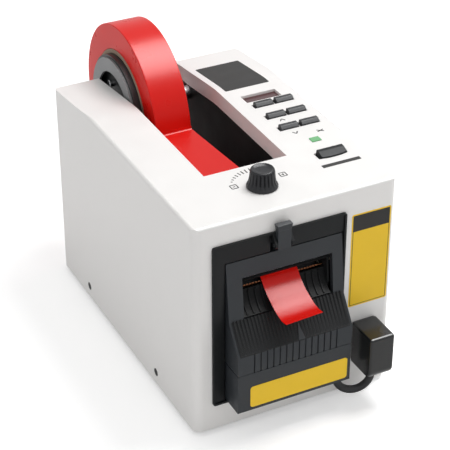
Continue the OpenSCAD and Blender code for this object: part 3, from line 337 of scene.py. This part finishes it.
# bezel with round outer corners; its ears stand above the upper ones
bezelTrim = {"corner": 2.0, "cornerSteps": 5, "cornerTop": 136.2, "leastDeep": 1.0, "edge": 0.6}
bezel = mergedCopy("front_bezel", "frontBezel")
bezelLow, bezelHigh = [Vector(corner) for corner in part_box("front_bezel")]
cornerTop = mm(0, 0, bezelTrim["cornerTop"]).z


def atBezelCorner(edge):
    ends = [vert.co for vert in edge.verts]
    return (all(min(abs(co.x - bezelLow.x), abs(co.x - bezelHigh.x)) < near
                and min(abs(co.z - bezelLow.z), abs(co.z - cornerTop)) < near for co in ends)
            and abs(ends[0].y - ends[1].y) > bezelTrim["leastDeep"] / 1000)


bpy.ops.object.mode_set(mode="EDIT")
selectEdges(bezel, atBezelCorner)
bpy.ops.mesh.bevel(offset=bezelTrim["corner"] / 1000, segments=bezelTrim["cornerSteps"])
bpy.ops.object.mode_set(mode="OBJECT")
roundEdges(bezel, bezelTrim["edge"])
finishPiece(bezel, "housing", "black_plastic", "front_bezel", finish=finishes["bezelBlack"])

# dished flange that closes the gap beside and above the unit, with a slot for the latch
flangeTrim = {"left": -56.7, "right": 32.3, "top": 134.9, "rim": 1.3, "innerX": -49.3, "innerZ": 122.3,
              "front": -0.8, "rear": 0.7, "slot": (-18.8, -5.4), "dish": 0.5, "edge": 0.5}
innerX, innerZ = flangeTrim["innerX"], flangeTrim["innerZ"]
slotLeft, slotRight = flangeTrim["slot"]
flangeFoot = bezelLow.z * 1000 - rimZ + flangeTrim["rim"]
flange = addBlock("bezelFlange", (flangeTrim["left"], flangeTrim["front"], flangeFoot),
                  (innerX, flangeTrim["rear"], flangeTrim["top"]))
pick(flange)
bpy.ops.object.mode_set(mode="EDIT")
bpy.ops.mesh.select_all(action="SELECT")
bpy.ops.mesh.bisect(plane_co=mm(0, 0, innerZ), plane_no=(0, 0, 1))
selectFaces(flange, lambda face: face.normal.x > facing and face.calc_center_median().z > mm(0, 0, innerZ).z)
bpy.ops.mesh.extrude_region_move(TRANSFORM_OT_translate={"value": ((slotLeft - innerX) / 1000, 0, 0)})
bpy.ops.object.mode_set(mode="OBJECT")
flangeRest = addBlock("flangeRest", (slotRight, flangeTrim["front"], innerZ),
                      (flangeTrim["right"], flangeTrim["rear"], flangeTrim["top"]))
joinTo(flange, flangeRest)
bpy.ops.object.mode_set(mode="EDIT")
selectVerts(flange, lambda co: co.x > mm(innerX - 1, 0, 0).x and co.z < mm(0, 0, innerZ + 1).z)
bpy.ops.transform.translate(value=(0, flangeTrim["dish"] / 1000, 0))
outwardNormals()
bpy.ops.object.mode_set(mode="OBJECT")
roundEdges(flange, flangeTrim["edge"], segments=3)
finishPiece(flange, "housing", "black_plastic", finish=finishes["bezelBlack"])
print("housing dressed")

# front unit
unit = {"shellEdge": 0.6, "coverEdge": 0.8, "latchEdge": 0.45, "plugEdge": 1.5}
unitShell = smoothCopy("unit_shell", "unitShell", unit["shellEdge"])
finishPiece(unitShell, "feed_unit", "dark_plastic", "unit_shell")
lowerCover = smoothCopy("unit_lower_cover", "unitLowerCover", unit["coverEdge"], segments=3)
finishPiece(lowerCover, "feed_unit", "dark_plastic", "unit_lower_cover")
releaseLatch = smoothCopy("release_latch", "releaseLatch", unit["latchEdge"], segments=3)
finishPiece(releaseLatch, "latch", "dark_plastic", "release_latch")
plugBody = smoothCopy("plug_body", "plugBody", unit["plugEdge"], segments=4)
finishPiece(plugBody, "plug", "black_plastic", "plug_body", finish=finishes["plugGloss"])
print("unit dressed")


# strip laid row by row: each row is its middle, and a twist in degrees about y
def layStrip(name, rows, width, thick):
    clearSelection()
    first = mm(*rows[0][:3])
    bpy.ops.mesh.primitive_plane_add(size=width / 1000, location=first)
    strip = bpy.context.object
    strip.name = name
    bpy.ops.object.transform_apply(location=True, rotation=True, scale=True)
    bpy.ops.object.mode_set(mode="EDIT")
    selectVerts(strip, lambda co: co.y > first.y)
    bpy.ops.mesh.delete(type="VERT")
    bpy.ops.mesh.select_all(action="SELECT")
    bpy.ops.transform.translate(value=(0, width / 2000, 0))
    turned = 0.0
    last = first
    for row in rows:
        here = mm(*row[:3])
        if row is not rows[0]:
            bpy.ops.mesh.extrude_region_move(TRANSFORM_OT_translate={"value": here - last})
        if row[3] != turned:
            bpy.ops.transform.rotate(value=math.radians(row[3] - turned), orient_axis="Y",
                                     orient_type="GLOBAL", center_override=here)
            turned = row[3]
        last = here
    outwardNormals()
    bpy.ops.object.mode_set(mode="OBJECT")
    cloth = strip.modifiers.new("thickness", "SOLIDIFY")
    cloth.thickness = thick / 1000
    cloth.offset = 0
    bpy.ops.object.modifier_apply(modifier=cloth.name)
    bpy.ops.object.shade_smooth_by_angle(angle=math.radians(50))
    return strip


# more rows on a smooth line through the given ones
def fairRows(rows, steps):
    out = []
    for i in range(len(rows) - 1):
        p = [Vector(rows[max(0, min(len(rows) - 1, k))]) for k in (i - 1, i, i + 1, i + 2)]
        for s in range(steps):
            t = s / steps
            square = 2 * p[0] - 5 * p[1] + 4 * p[2] - p[3]
            cube = 3 * p[1] - p[0] - 3 * p[2] + p[3]
            out.append(tuple(0.5 * (2 * p[1] + t * (p[2] - p[0]) + t * t * square + t ** 3 * cube)))
    out.append(tuple(rows[-1]))
    return out


# tape: the free end curls and twists a little, and the web's end bends up against the roll
tape = {
    "width": 25.4,
    "thick": 0.3,
    "tail": [(-8.1, -25.5, 85.9, 3), (-8.3, -20, 85.3, 3), (-8.5, -14, 86.8, 2), (-8.6, -8.5, 89.1, 1),
             (-8.6, -3.5, 91.5, 0), (-8.6, 1.5, 94.8, 0), (-8.6, 5, 98.3, 0), (-8.6, 8.7, 101.7, 0)],
    "web": [(-8.6, 29.6, 122.55), (-8.6, 35, 127.9), (-8.6, 39.7, 132.5), (-8.6, 41.2, 133.6),
            (-8.6, 43.2, 134.1), (-10.7, 67, 134.4), (-12.85, 91, 134.6), (-15.0, 115, 134.8),
            (-16.95, 136.6, 135.0), (-17.05, 137.7, 135.1), (-17.1, 138.35, 135.55), (-17.1, 138.6, 136.3),
            (-17.1, 138.72, 137.1)],
}
tapeTail = layStrip("tapeTail", fairRows(tape["tail"], steps=4), tape["width"], tape["thick"])
finishPiece(tapeTail, "feed_unit", "red_tape", "tape_tail")
webRows = [row + (0.0,) for row in tape["web"]]  # no twist
tapeWeb = layStrip("tapeWeb", fairRows(webRows, steps=3), tape["width"], tape["thick"])
finishPiece(tapeWeb, "housing", "red_tape", "tape_web")

# roll with an open bore for its core
roll = {"x0": -29.8, "radius": 58.5, "bore": 40.9, "y": 197.0, "z": 129.5, "sides": 192, "edge": 0.6,
        "rough": 0.28}
clearSelection()
bpy.ops.mesh.primitive_cylinder_add(vertices=roll["sides"], radius=roll["radius"] / 1000,
                                    depth=tape["width"] / 1000,
                                    location=mm(roll["x0"] + tape["width"] / 2, roll["y"], roll["z"]),
                                    rotation=(0, math.radians(90), 0))
tapeRoll = bpy.context.object
tapeRoll.name = "tapeRoll"
bpy.ops.object.transform_apply(location=True, rotation=True, scale=True)
bpy.ops.object.mode_set(mode="EDIT")
selectFaces(tapeRoll, lambda face: abs(face.normal.x) > facing)
bpy.ops.mesh.inset(thickness=(roll["radius"] - roll["bore"]) / 1000, use_individual=True)
bpy.ops.mesh.bridge_edge_loops()
outwardNormals()
bpy.ops.object.mode_set(mode="OBJECT")
roundEdges(tapeRoll, roll["edge"], segments=3, angle=60)

# winding lines on the roll's flat sides: rings about the axle
winding = {"rings": {"Scale": 330, "Distortion": 1.5, "Detail": 2, "Detail Scale": 0.4},
           "lines": {"Strength": 0.25, "Distance": 0.00015}}
woundTape = makeFinish("woundTape", dict(looks["red_tape"], rough=roll["rough"]))
woundNodes, woundLinks = woundTape.node_tree.nodes, woundTape.node_tree.links
woundPlace = woundNodes.new("ShaderNodeTexCoord")
woundShift = woundNodes.new("ShaderNodeMapping")
woundShift.inputs["Location"].default_value = [-c for c in mm(0, roll["y"], roll["z"])]
woundRings = woundNodes.new("ShaderNodeTexWave")
woundRings.wave_type = "RINGS"
woundRings.rings_direction = "X"
setInputs(woundRings, winding["rings"])
woundLinks.new(woundPlace.outputs["Object"], woundShift.inputs["Vector"])
woundLinks.new(woundShift.outputs["Vector"], woundRings.inputs["Vector"])
woundLines = woundNodes.new("ShaderNodeBump")
setInputs(woundLines, winding["lines"])
woundLinks.new(woundRings.outputs["Fac"], woundLines.inputs["Height"])
woundLinks.new(woundLines.outputs["Normal"], woundNodes["Principled BSDF"].inputs["Normal"])
finishPiece(tapeRoll, "reel", "red_tape", "tape_roll", finish=woundTape)
print("tape laid")

# dial: fluted grip that flares into a skirt; a run of flutes is from, to and its share of the depth
dial = {
    "x": -10.0,
    "y": 27.5,
    "base": 151.5,
    "skirt": 9.9,
    "grip": 7.7,
    "flutes": 20,
    "fluteDepth": 0.85,
    "fluteRuns": [(1.4, 3.0, 0.7), (3.0, 11.0, 1.0)],
}
# radius and height of each ring, from the skirt to the middle of the top
dialRings = [(dial["skirt"], 0.7), (9.6, 1.4), (9.0, 2.4), (8.5, 4.0), (8.1, 6.4), (dial["grip"], 10.4),
             (7.5, 11.3), (7.1, 11.9), (6.7, 12.1), (6.2, 11.9), (5.6, 11.4), (3.0, 11.2), (0.4, 11.1)]
dialAxis = mm(dial["x"], dial["y"], dial["base"])
clearSelection()
bpy.ops.mesh.primitive_circle_add(vertices=dial["flutes"] * 4, radius=dial["skirt"] / 1000, location=dialAxis)
dialKnob = bpy.context.object
dialKnob.name = "dialKnob"
bpy.ops.object.transform_apply(location=True, rotation=True, scale=True)
bpy.ops.object.mode_set(mode="EDIT")
bpy.ops.mesh.select_mode(type="VERT")
bpy.ops.mesh.select_all(action="SELECT")
ringRadius, ringHeight = dial["skirt"], 0.0
for radius, height in dialRings:
    bpy.ops.mesh.extrude_region_move(TRANSFORM_OT_translate={"value": (0, 0, (height - ringHeight) / 1000)})
    bpy.ops.transform.resize(value=(radius / ringRadius, radius / ringRadius, 1), center_override=dialAxis)
    ringRadius, ringHeight = radius, height
bpy.ops.mesh.edge_face_add()
selectVerts(dialKnob, lambda co: abs(co.z - dialAxis.z) < near / 10)
bpy.ops.mesh.edge_face_add()
for fluteLow, fluteHigh, share in dial["fluteRuns"]:
    selectVerts(dialKnob, lambda co: fluteLow / 1000 < co.z - dialAxis.z < fluteHigh / 1000
                and round(math.degrees(math.atan2(co.y - dialAxis.y, co.x - dialAxis.x))
                          / (90 / dial["flutes"])) % 4 == 0)
    shrink = 1 - dial["fluteDepth"] * share / dial["grip"]
    bpy.ops.transform.resize(value=(shrink, shrink, 1), center_override=dialAxis)
outwardNormals()
bpy.ops.object.mode_set(mode="OBJECT")
bpy.ops.object.shade_smooth_by_angle(angle=math.radians(45))
finishPiece(dialKnob, "dial", "key_plastic", "dial_knob", finish=finishes["knobBlack"])

# keys: one cap with a ridge and a sloped front, copied to its six places
keys = {
    "width": 14.2,
    "depth": 5.0,
    "under": 142.6,
    "top": 153.5,
    "frontDrop": 1.9,
    "backDrop": 0.2,
    "ridge": -0.6,
    "leftSlope": 1.0,
    "rightSlope": 0.4,
    "slopeDeep": 2.5,
    "edge": 0.3,
    "places": [(39.95, 86.0), (55.05, 86.0), (39.95, 103.4), (55.05, 103.4), (39.95, 120.8), (55.05, 120.8)],
}
keyX, keyY = keys["places"][0]
firstKey = addBlock("key1", (keyX - keys["width"] / 2, keyY - keys["depth"] / 2, keys["under"]),
                    (keyX + keys["width"] / 2, keyY + keys["depth"] / 2, keys["top"]))
pick(firstKey)
bpy.ops.object.mode_set(mode="EDIT")
bpy.ops.mesh.select_all(action="SELECT")
ridge = mm(keyX, keyY + keys["ridge"], keys["top"])
bpy.ops.mesh.bisect(plane_co=ridge, plane_no=(0, 1, 0))
frontEdge, backEdge = mm(0, keyY - keys["depth"] / 2, 0).y, mm(0, keyY + keys["depth"] / 2, 0).y
slopeLow = ridge.z - keys["slopeDeep"] / 1000
selectVerts(firstKey, lambda co: co.z > ridge.z - near and abs(co.y - frontEdge) < near)
bpy.ops.transform.translate(value=(0, 0, -keys["frontDrop"] / 1000))
selectVerts(firstKey, lambda co: co.z > ridge.z - near and abs(co.y - backEdge) < near)
bpy.ops.transform.translate(value=(0, 0, -keys["backDrop"] / 1000))
selectVerts(firstKey, lambda co: co.z > slopeLow and co.x < ridge.x)
bpy.ops.transform.translate(value=(keys["leftSlope"] / 1000, 0, 0))
selectVerts(firstKey, lambda co: co.z > slopeLow and co.x > ridge.x)
bpy.ops.transform.translate(value=(-keys["rightSlope"] / 1000, 0, 0))
bpy.ops.object.mode_set(mode="OBJECT")
roundEdges(firstKey, keys["edge"], segments=3, angle=12)
keyCaps = [firstKey]
for number, (placeX, placeY) in enumerate(keys["places"][1:], 2):
    keyCap = bpy.data.objects.new("key%d" % number, firstKey.data.copy())
    bpy.context.collection.objects.link(keyCap)
    pick(keyCap)
    bpy.ops.transform.translate(value=((placeX - keyX) / 1000, (placeY - keyY) / 1000, 0))
    bpy.ops.object.transform_apply(location=True, rotation=False, scale=False)
    keyCaps.append(keyCap)
for number, keyCap in enumerate(keyCaps, 1):
    finishPiece(keyCap, "key_%d_body" % number, "key_plastic", "key_%d" % number)

# the large key keeps its bulged front, and gets the same ridge and a sloped left end
largeKey = {"x": 47.5, "ridge": 45.3, "top": 153.5, "frontDrop": 1.5, "topSkin": 0.5, "leftSlope": 1.6,
            "slopeDeep": 2.0, "slopeFrom": 9.5, "edge": 0.35}
autoKey = mergedCopy("auto_key", "autoKey")
bpy.ops.object.mode_set(mode="EDIT")
bpy.ops.mesh.select_all(action="SELECT")
largeRidge = mm(largeKey["x"], largeKey["ridge"], largeKey["top"])
topSkin = largeKey["topSkin"] / 1000
bpy.ops.mesh.bisect(plane_co=largeRidge, plane_no=(0, 1, 0))
selectVerts(autoKey, lambda co: co.z > largeRidge.z - topSkin and co.y < largeRidge.y - topSkin)
bpy.ops.transform.translate(value=(0, 0, -largeKey["frontDrop"] / 1000))
selectVerts(autoKey, lambda co: co.z > largeRidge.z - largeKey["slopeDeep"] / 1000
            and co.x < largeRidge.x - largeKey["slopeFrom"] / 1000)
bpy.ops.transform.translate(value=(largeKey["leftSlope"] / 1000, 0, 0))
bpy.ops.object.mode_set(mode="OBJECT")
roundEdges(autoKey, largeKey["edge"], segments=3, angle=14)
finishPiece(autoKey, "auto_key_body", "key_plastic", "auto_key", finish=finishes["largeKeyBlack"])
print("panel pieces made")


# thin plate with round corners, lying on a flat face square to the axis
def thinPlate(name, lo, hi, axis, corner):
    plate = addBlock(name, lo, hi)
    pick(plate)
    bpy.ops.object.mode_set(mode="EDIT")
    selectEdges(plate, lambda edge: abs((edge.verts[1].co - edge.verts[0].co).normalized()[axis]) > 0.99)
    bpy.ops.mesh.bevel(offset=corner / 1000, segments=4)
    bpy.ops.object.mode_set(mode="OBJECT")
    bpy.ops.object.shade_smooth_by_angle(angle=math.radians(30))
    return plate


# front label: yellow, with a dark line inside its edge and a dark head
frontPlate = {"x": (38.0, 66.0), "z": (63.4, 132.0)}
labelLayers = {
    "frontLabel": {"inset": 0.0, "head": 0.0, "front": -0.14, "rear": 0.0, "corner": 1.2,
                   "slot": "white_paint", "finish": "printYellow"},
    "frontLabelHead": {"inset": 0.9, "head": 0.0, "front": -0.17, "rear": -0.1, "corner": 0.5,
                       "slot": "black_plastic", "finish": "printDark"},
    "frontLabelField": {"inset": 1.3, "head": 11.2, "front": -0.2, "rear": -0.12, "corner": 0.4,
                        "slot": "white_paint", "finish": "printYellow"},
}
(plateLeft, plateRight), (plateLow, plateHigh) = frontPlate["x"], frontPlate["z"]
for layerName, layer in labelLayers.items():
    inset = layer["inset"]
    labelPlate = thinPlate(layerName, (plateLeft + inset, layer["front"], plateLow + inset),
                           (plateRight - inset, layer["rear"], plateHigh - inset - layer["head"]),
                           axis=1, corner=layer["corner"])
    finishPiece(labelPlate, "housing", layer["slot"], finish=finishes[layer["finish"]])

unitPlate = {"lo": (-39.9, -16.78, 22.7), "hi": (29.1, -16.6, 38.5), "corner": 2.0}
unitLabel = thinPlate("unitLabel", unitPlate["lo"], unitPlate["hi"], axis=1, corner=unitPlate["corner"])
finishPiece(unitLabel, "feed_unit", "dark_plastic", finish=finishes["printYellow"])

# blank plate, folded in small steps where the top turns down by 8 in 66
namePlate = {"x": (26.0, 59.2), "y": (148.4, 195.6), "thick": 0.15, "corner": 1.0, "fall": (8, 66),
             "folds": (150.0, 153.4, 156.6, 160.0)}
blankPlate = thinPlate("blankPlate", (namePlate["x"][0], namePlate["y"][0], topFace),
                       (namePlate["x"][1], namePlate["y"][1], topFace + namePlate["thick"]),
                       axis=2, corner=namePlate["corner"])
pick(blankPlate)
bpy.ops.object.mode_set(mode="EDIT")
for fold in namePlate["folds"]:
    bpy.ops.mesh.select_all(action="SELECT")
    bpy.ops.mesh.bisect(plane_co=mm(0, fold, topFace), plane_no=(0, 1, 0))
foldHeight, foldAngle, lastFold = topFace, 0.0, namePlate["folds"][0]
foldStep = math.atan2(*namePlate["fall"]) / len(namePlate["folds"])
for fold in namePlate["folds"]:
    foldHeight -= (fold - lastFold) * math.tan(foldAngle)
    selectVerts(blankPlate, lambda co: co.y > mm(0, fold, 0).y - near / 10)
    bpy.ops.transform.rotate(value=foldStep, orient_axis="X", orient_type="GLOBAL",
                             center_override=mm(0, fold, foldHeight))
    foldAngle, lastFold = foldAngle + foldStep, fold
bpy.ops.object.mode_set(mode="OBJECT")
finishPiece(blankPlate, "housing", "black_plastic", finish=finishes["printDark"])

barPlate = {"lo": (34.2, 29.7, 150.99), "hi": (61.3, 33.0, 151.1), "corner": 0.3}
modeBar = thinPlate("modeBar", barPlate["lo"], barPlate["hi"], axis=2, corner=barPlate["corner"])
finishPiece(modeBar, "housing", "black_plastic", finish=finishes["printDark"])

# printed marks: short bars on the top, each turned to its angle, then joined
ink = {"sunk": 0.01, "proud": 0.05, "corner": 0.2}


def printMarks(name, bars):
    made = []
    for barX, barY, length, width, angle in bars:
        bar = thinPlate(name, (barX - length / 2, barY - width / 2, topFace - ink["sunk"]),
                        (barX + length / 2, barY + width / 2, topFace + ink["proud"]),
                        axis=2, corner=width * ink["corner"])
        pick(bar)
        bpy.ops.object.mode_set(mode="EDIT")
        bpy.ops.mesh.select_all(action="SELECT")
        bpy.ops.transform.rotate(value=-math.radians(angle), orient_axis="Z", orient_type="GLOBAL",
                                 center_override=mm(barX, barY, topFace))
        bpy.ops.object.mode_set(mode="OBJECT")
        made.append(bar)
    return joinTo(*made)


def boxMark(boxX, boxY, size, line):
    half = size / 2
    return [(boxX, boxY - half, size, line, 0), (boxX, boxY + half, size, line, 0),
            (boxX - half, boxY, size, line, 90), (boxX + half, boxY, size, line, 90)]


# dial's marks: a box at each end, one with a dash and one with a cross, and ticks that grow
marks = {"line": 0.7, "box": 4.2, "dash": 1.8, "left": (-25.6, 34.6), "right": (8.1, 34.6),
         "ticks": 8, "tick": 0.8, "from": 138, "to": 84, "shortest": 1.2, "growth": 3.4, "reach": 18.6}
dialBars = []
for boxPlace in (marks["left"], marks["right"]):
    dialBars += boxMark(*boxPlace, marks["box"], marks["line"])
dialBars += [(*marks["left"], marks["dash"], marks["line"], 0),
             (*marks["right"], marks["dash"], marks["line"], 0),
             (*marks["right"], marks["dash"], marks["line"], 90)]
for step in range(marks["ticks"]):
    share = step / (marks["ticks"] - 1)
    angle = math.radians(marks["from"] + (marks["to"] - marks["from"]) * share)
    length = marks["shortest"] + marks["growth"] * share
    reach = marks["reach"] + length / 2
    dialBars.append((dial["x"] + reach * math.cos(angle), dial["y"] + reach * math.sin(angle), length,
                     marks["tick"], math.degrees(angle)))
dialMarks = printMarks("dialMarks", dialBars)
finishPiece(dialMarks, "housing", "black_plastic", finish=finishes["printDark"])

# keys' marks: two arrows and a cross
keyBars = [(39.9, 77.5, 3.2, 0.8, -55), (41.7, 77.5, 3.2, 0.8, 55), (40.2, 96.6, 3.0, 0.8, 55),
           (42.0, 96.6, 3.0, 0.8, -55), (56.2, 73.0, 5.0, 0.8, -35), (56.2, 73.0, 5.0, 0.8, 20)]
keyMarks = printMarks("keyMarks", keyBars)
finishPiece(keyMarks, "housing", "black_plastic", finish=finishes["printDark"])

# ramp: thin black plate with fine ribs over the slope below the window
ramp = {"x0": -47.0, "x1": 30.0, "front": -17.0, "rear": -4.5, "low": 63.0, "rise": 18.0, "thick": 0.5,
        "ribs": 32, "pitch": 2.4, "ribFrom": 0.7, "ribWidth": 1.2, "ribHigh": 0.5, "ribSunk": 0.3,
        "ribFront": 0.2, "ribRear": 0.1, "ribTaper": 0.3}
ribX = ramp["x0"] + ramp["ribFrom"]
rampRib = addBlock("rampRib", (ribX, ramp["front"] + ramp["ribFront"], ramp["low"] + ramp["ribSunk"]),
                   (ribX + ramp["ribWidth"], ramp["rear"] - ramp["ribRear"],
                    ramp["low"] + ramp["thick"] + ramp["ribHigh"]))
pick(rampRib)
bpy.ops.object.mode_set(mode="EDIT")
selectFaces(rampRib, lambda face: face.normal.z > facing)
bpy.ops.mesh.inset(thickness=ramp["ribTaper"] / 1000)
bpy.ops.transform.translate(value=(0, 0, ramp["ribTaper"] / 1000))
bpy.ops.object.mode_set(mode="OBJECT")
ribRow = rampRib.modifiers.new("ribRow", "ARRAY")
ribRow.use_relative_offset = False
ribRow.use_constant_offset = True
ribRow.constant_offset_displace = (ramp["pitch"] / 1000, 0, 0)
ribRow.count = ramp["ribs"]
bpy.ops.object.modifier_apply(modifier=ribRow.name)
rampPlate = addBlock("rampPlate", (ramp["x0"], ramp["front"], ramp["low"]),
                     (ramp["x1"], ramp["rear"], ramp["low"] + ramp["thick"]))
joinTo(rampPlate, rampRib)
bpy.ops.object.mode_set(mode="EDIT")
selectVerts(rampPlate, lambda co: co.y > mm(0, (ramp["front"] + ramp["rear"]) / 2, 0).y)
bpy.ops.transform.translate(value=(0, 0, ramp["rise"] / 1000))
bpy.ops.object.mode_set(mode="OBJECT")
finishPiece(rampPlate, "feed_unit", "black_plastic", finish=finishes["rampBlack"])

# raised pointer at the middle of the ramp
pointer = {"x": -4.6, "half": 2.3, "low": (-17.0, 63.0), "high": (-11.6, 70.8), "proud": 1.5, "tip": 0.12,
           "edge": 0.15}
rampPointer = addBlock("rampPointer", (pointer["x"] - pointer["half"], pointer["low"][0], pointer["low"][1]),
                       (pointer["x"] + pointer["half"], pointer["high"][0],
                        pointer["low"][1] + pointer["proud"]))
pick(rampPointer)
bpy.ops.object.mode_set(mode="EDIT")
selectVerts(rampPointer, lambda co: co.y > mm(0, pointer["low"][0] + 1, 0).y)
bpy.ops.transform.translate(value=(0, 0, (pointer["high"][1] - pointer["low"][1]) / 1000))
bpy.ops.transform.resize(value=(pointer["tip"], 1, 1), center_override=mm(pointer["x"], 0, 0))
bpy.ops.object.mode_set(mode="OBJECT")
roundEdges(rampPointer, pointer["edge"], angle=30)
finishPiece(rampPointer, "feed_unit", "dark_plastic")

# cap on the latch's handle, narrower at its foot
handleCap = {"lo": (-17.5, -6.5, 138.6), "hi": (-6.7, -1.9, 143.0), "middle": (-12.1, -4.2, 138.6),
             "foot": (0.86, 0.8, 1), "edge": 0.6}
latchCap = addBlock("latchCap", handleCap["lo"], handleCap["hi"])
pick(latchCap)
bpy.ops.object.mode_set(mode="EDIT")
selectFaces(latchCap, lambda face: face.normal.z < -facing)
bpy.ops.transform.resize(value=handleCap["foot"], center_override=mm(*handleCap["middle"]))
bpy.ops.object.mode_set(mode="OBJECT")
roundEdges(latchCap, handleCap["edge"], segments=3, angle=30)
finishPiece(latchCap, "latch", "dark_plastic")
print("plates, marks and trim laid")

# screw in the hub's web, with a round recess
hubScrew = {"y": 211.0, "z": 142.0, "face": -30.5, "radius": 2.6, "high": 2.2, "sunk": 0.1, "sides": 48,
            "rim": 0.9, "recess": 0.8, "edge": 0.35}
screwX = hubScrew["face"] - hubScrew["high"] / 2 + hubScrew["sunk"]
clearSelection()
bpy.ops.mesh.primitive_cylinder_add(vertices=hubScrew["sides"], radius=hubScrew["radius"] / 1000,
                                    depth=hubScrew["high"] / 1000,
                                    location=mm(screwX, hubScrew["y"], hubScrew["z"]),
                                    rotation=(0, math.radians(90), 0))
screwHead = bpy.context.object
screwHead.name = "hubScrew"
bpy.ops.object.transform_apply(location=True, rotation=True, scale=True)
bpy.ops.object.mode_set(mode="EDIT")
selectFaces(screwHead, lambda face: face.normal.x < -facing)
bpy.ops.mesh.inset(thickness=hubScrew["rim"] / 1000)
bpy.ops.transform.translate(value=(hubScrew["recess"] / 1000, 0, 0))
bpy.ops.object.mode_set(mode="OBJECT")
roundEdges(screwHead, hubScrew["edge"], segments=3, angle=40)
finishPiece(screwHead, "reel", "bright_steel")

# CAD nodes that stay get the finish of their slot, some a darker or lighter one of the same kind; the parts
# deep inside get a darker black that is painted shade
slots = {entry["node"]: entry["material_slot"] for entry in frame["record"]["subparts"]}
ownFinish = {
    "tape_chute": "innerShadeBlack",
    "tape_chassis": "innerShadeBlack",
    "tape_sensor": "innerShadeBlack",
    "blade_holder": "innerShadeBlack",
    "plate_left": "rampBlack",
    "plate_right": "rampBlack",
    "reel_hub": "hubBlack",
}
for nodeName, nodeObject in frame["nodes"].items():
    nodeObject.data.materials.clear()
    nodeObject.data.materials.append(finishes[ownFinish.get(nodeName, slots[nodeName])])
print("nodes finished")

# studio: pale floor, even sky, one soft lamp over the object and a card that shows only as gloss
studio = {
    "sky": 0.62,
    "whiteSky": 1.0,
    "lamp": 9.8,
    "lampSize": 0.55,
    "lampPlace": (0.56, -0.03, 1.45),
    "aim": (0, 0, 0.1),
    "card": 68.0,
    "cardSize": 1.25,
    "floor": 0.97,
    "floorSize": 16,
    "bounce": 0.9,
    "glow": 0.34,
}
world = bpy.data.worlds.new("studioSky")
bpy.context.scene.world = world
world.use_nodes = True
skyNodes, skyLinks = world.node_tree.nodes, world.node_tree.links
sky = skyNodes["Background"]
setInputs(sky, {"Color": (1, 1, 1, 1), "Strength": studio["sky"]})
whiteSky = skyNodes.new("ShaderNodeBackground")
setInputs(whiteSky, {"Strength": studio["whiteSky"]})
rays = skyNodes.new("ShaderNodeLightPath")
seen = skyNodes.new("ShaderNodeMath")
seen.operation = "MAXIMUM"
seenAll = skyNodes.new("ShaderNodeMath")
seenAll.operation = "MAXIMUM"
skyMix = skyNodes.new("ShaderNodeMixShader")
skyLinks.new(rays.outputs["Is Camera Ray"], seen.inputs[0])
skyLinks.new(rays.outputs["Is Glossy Ray"], seen.inputs[1])
skyLinks.new(seen.outputs[0], seenAll.inputs[0])
skyLinks.new(rays.outputs["Is Transmission Ray"], seenAll.inputs[1])
skyLinks.new(seenAll.outputs[0], skyMix.inputs[0])
skyLinks.new(sky.outputs[0], skyMix.inputs[1])
skyLinks.new(whiteSky.outputs[0], skyMix.inputs[2])
skyLinks.new(skyMix.outputs[0], skyNodes["World Output"].inputs["Surface"])

lampData = bpy.data.lights.new("softLamp", "AREA")
lampData.energy = studio["lamp"]
lampData.size = studio["lampSize"]
lamp = bpy.data.objects.new("softLamp", lampData)
lamp.location = studio["lampPlace"]
lamp.rotation_euler = (Vector(studio["lampPlace"]) - Vector(studio["aim"])).to_track_quat("Z", "Y").to_euler()
bpy.context.collection.objects.link(lamp)
card = lamp.copy()
card.name = "glossCard"
card.data = lampData.copy()
card.data.energy = studio["card"]
card.data.size = studio["cardSize"]
card.visible_diffuse = False
card.visible_transmission = False
bpy.context.collection.objects.link(card)

# the floor glows a little to the camera, so that it reads as white paper
clearSelection()
bpy.ops.mesh.primitive_plane_add(size=studio["floorSize"], location=(0, 0, 0))
floor = bpy.context.object
floor.name = "studioFloor"
floorFinish = makeFinish("floorPaper", {"colour": (studio["floor"],) * 3, "rough": 0.9, "spread": 0.0,
                                        "specular": 0.0, "grain": 0.0})
floorNodes, floorLinks = floorFinish.node_tree.nodes, floorFinish.node_tree.links
floorShader = floorNodes["Principled BSDF"]
floorRays = floorNodes.new("ShaderNodeLightPath")
floorTint = floorNodes.new("ShaderNodeMix")
floorTint.data_type = "RGBA"
floorTint.inputs["A"].default_value = (studio["bounce"],) * 3 + (1,)
floorTint.inputs["B"].default_value = (studio["floor"],) * 3 + (1,)
floorLinks.new(floorRays.outputs["Is Camera Ray"], floorTint.inputs["Factor"])
floorLinks.new(floorTint.outputs["Result"], floorShader.inputs["Base Color"])
floorGlow = floorNodes.new("ShaderNodeMath")
floorGlow.operation = "MULTIPLY"
floorGlow.inputs[1].default_value = studio["glow"]
floorLinks.new(floorRays.outputs["Is Camera Ray"], floorGlow.inputs[0])
floorShader.inputs["Emission Color"].default_value = (1, 1, 1, 1)
floorLinks.new(floorGlow.outputs[0], floorShader.inputs["Emission Strength"])
floor.data.materials.append(floorFinish)
print("studio set")
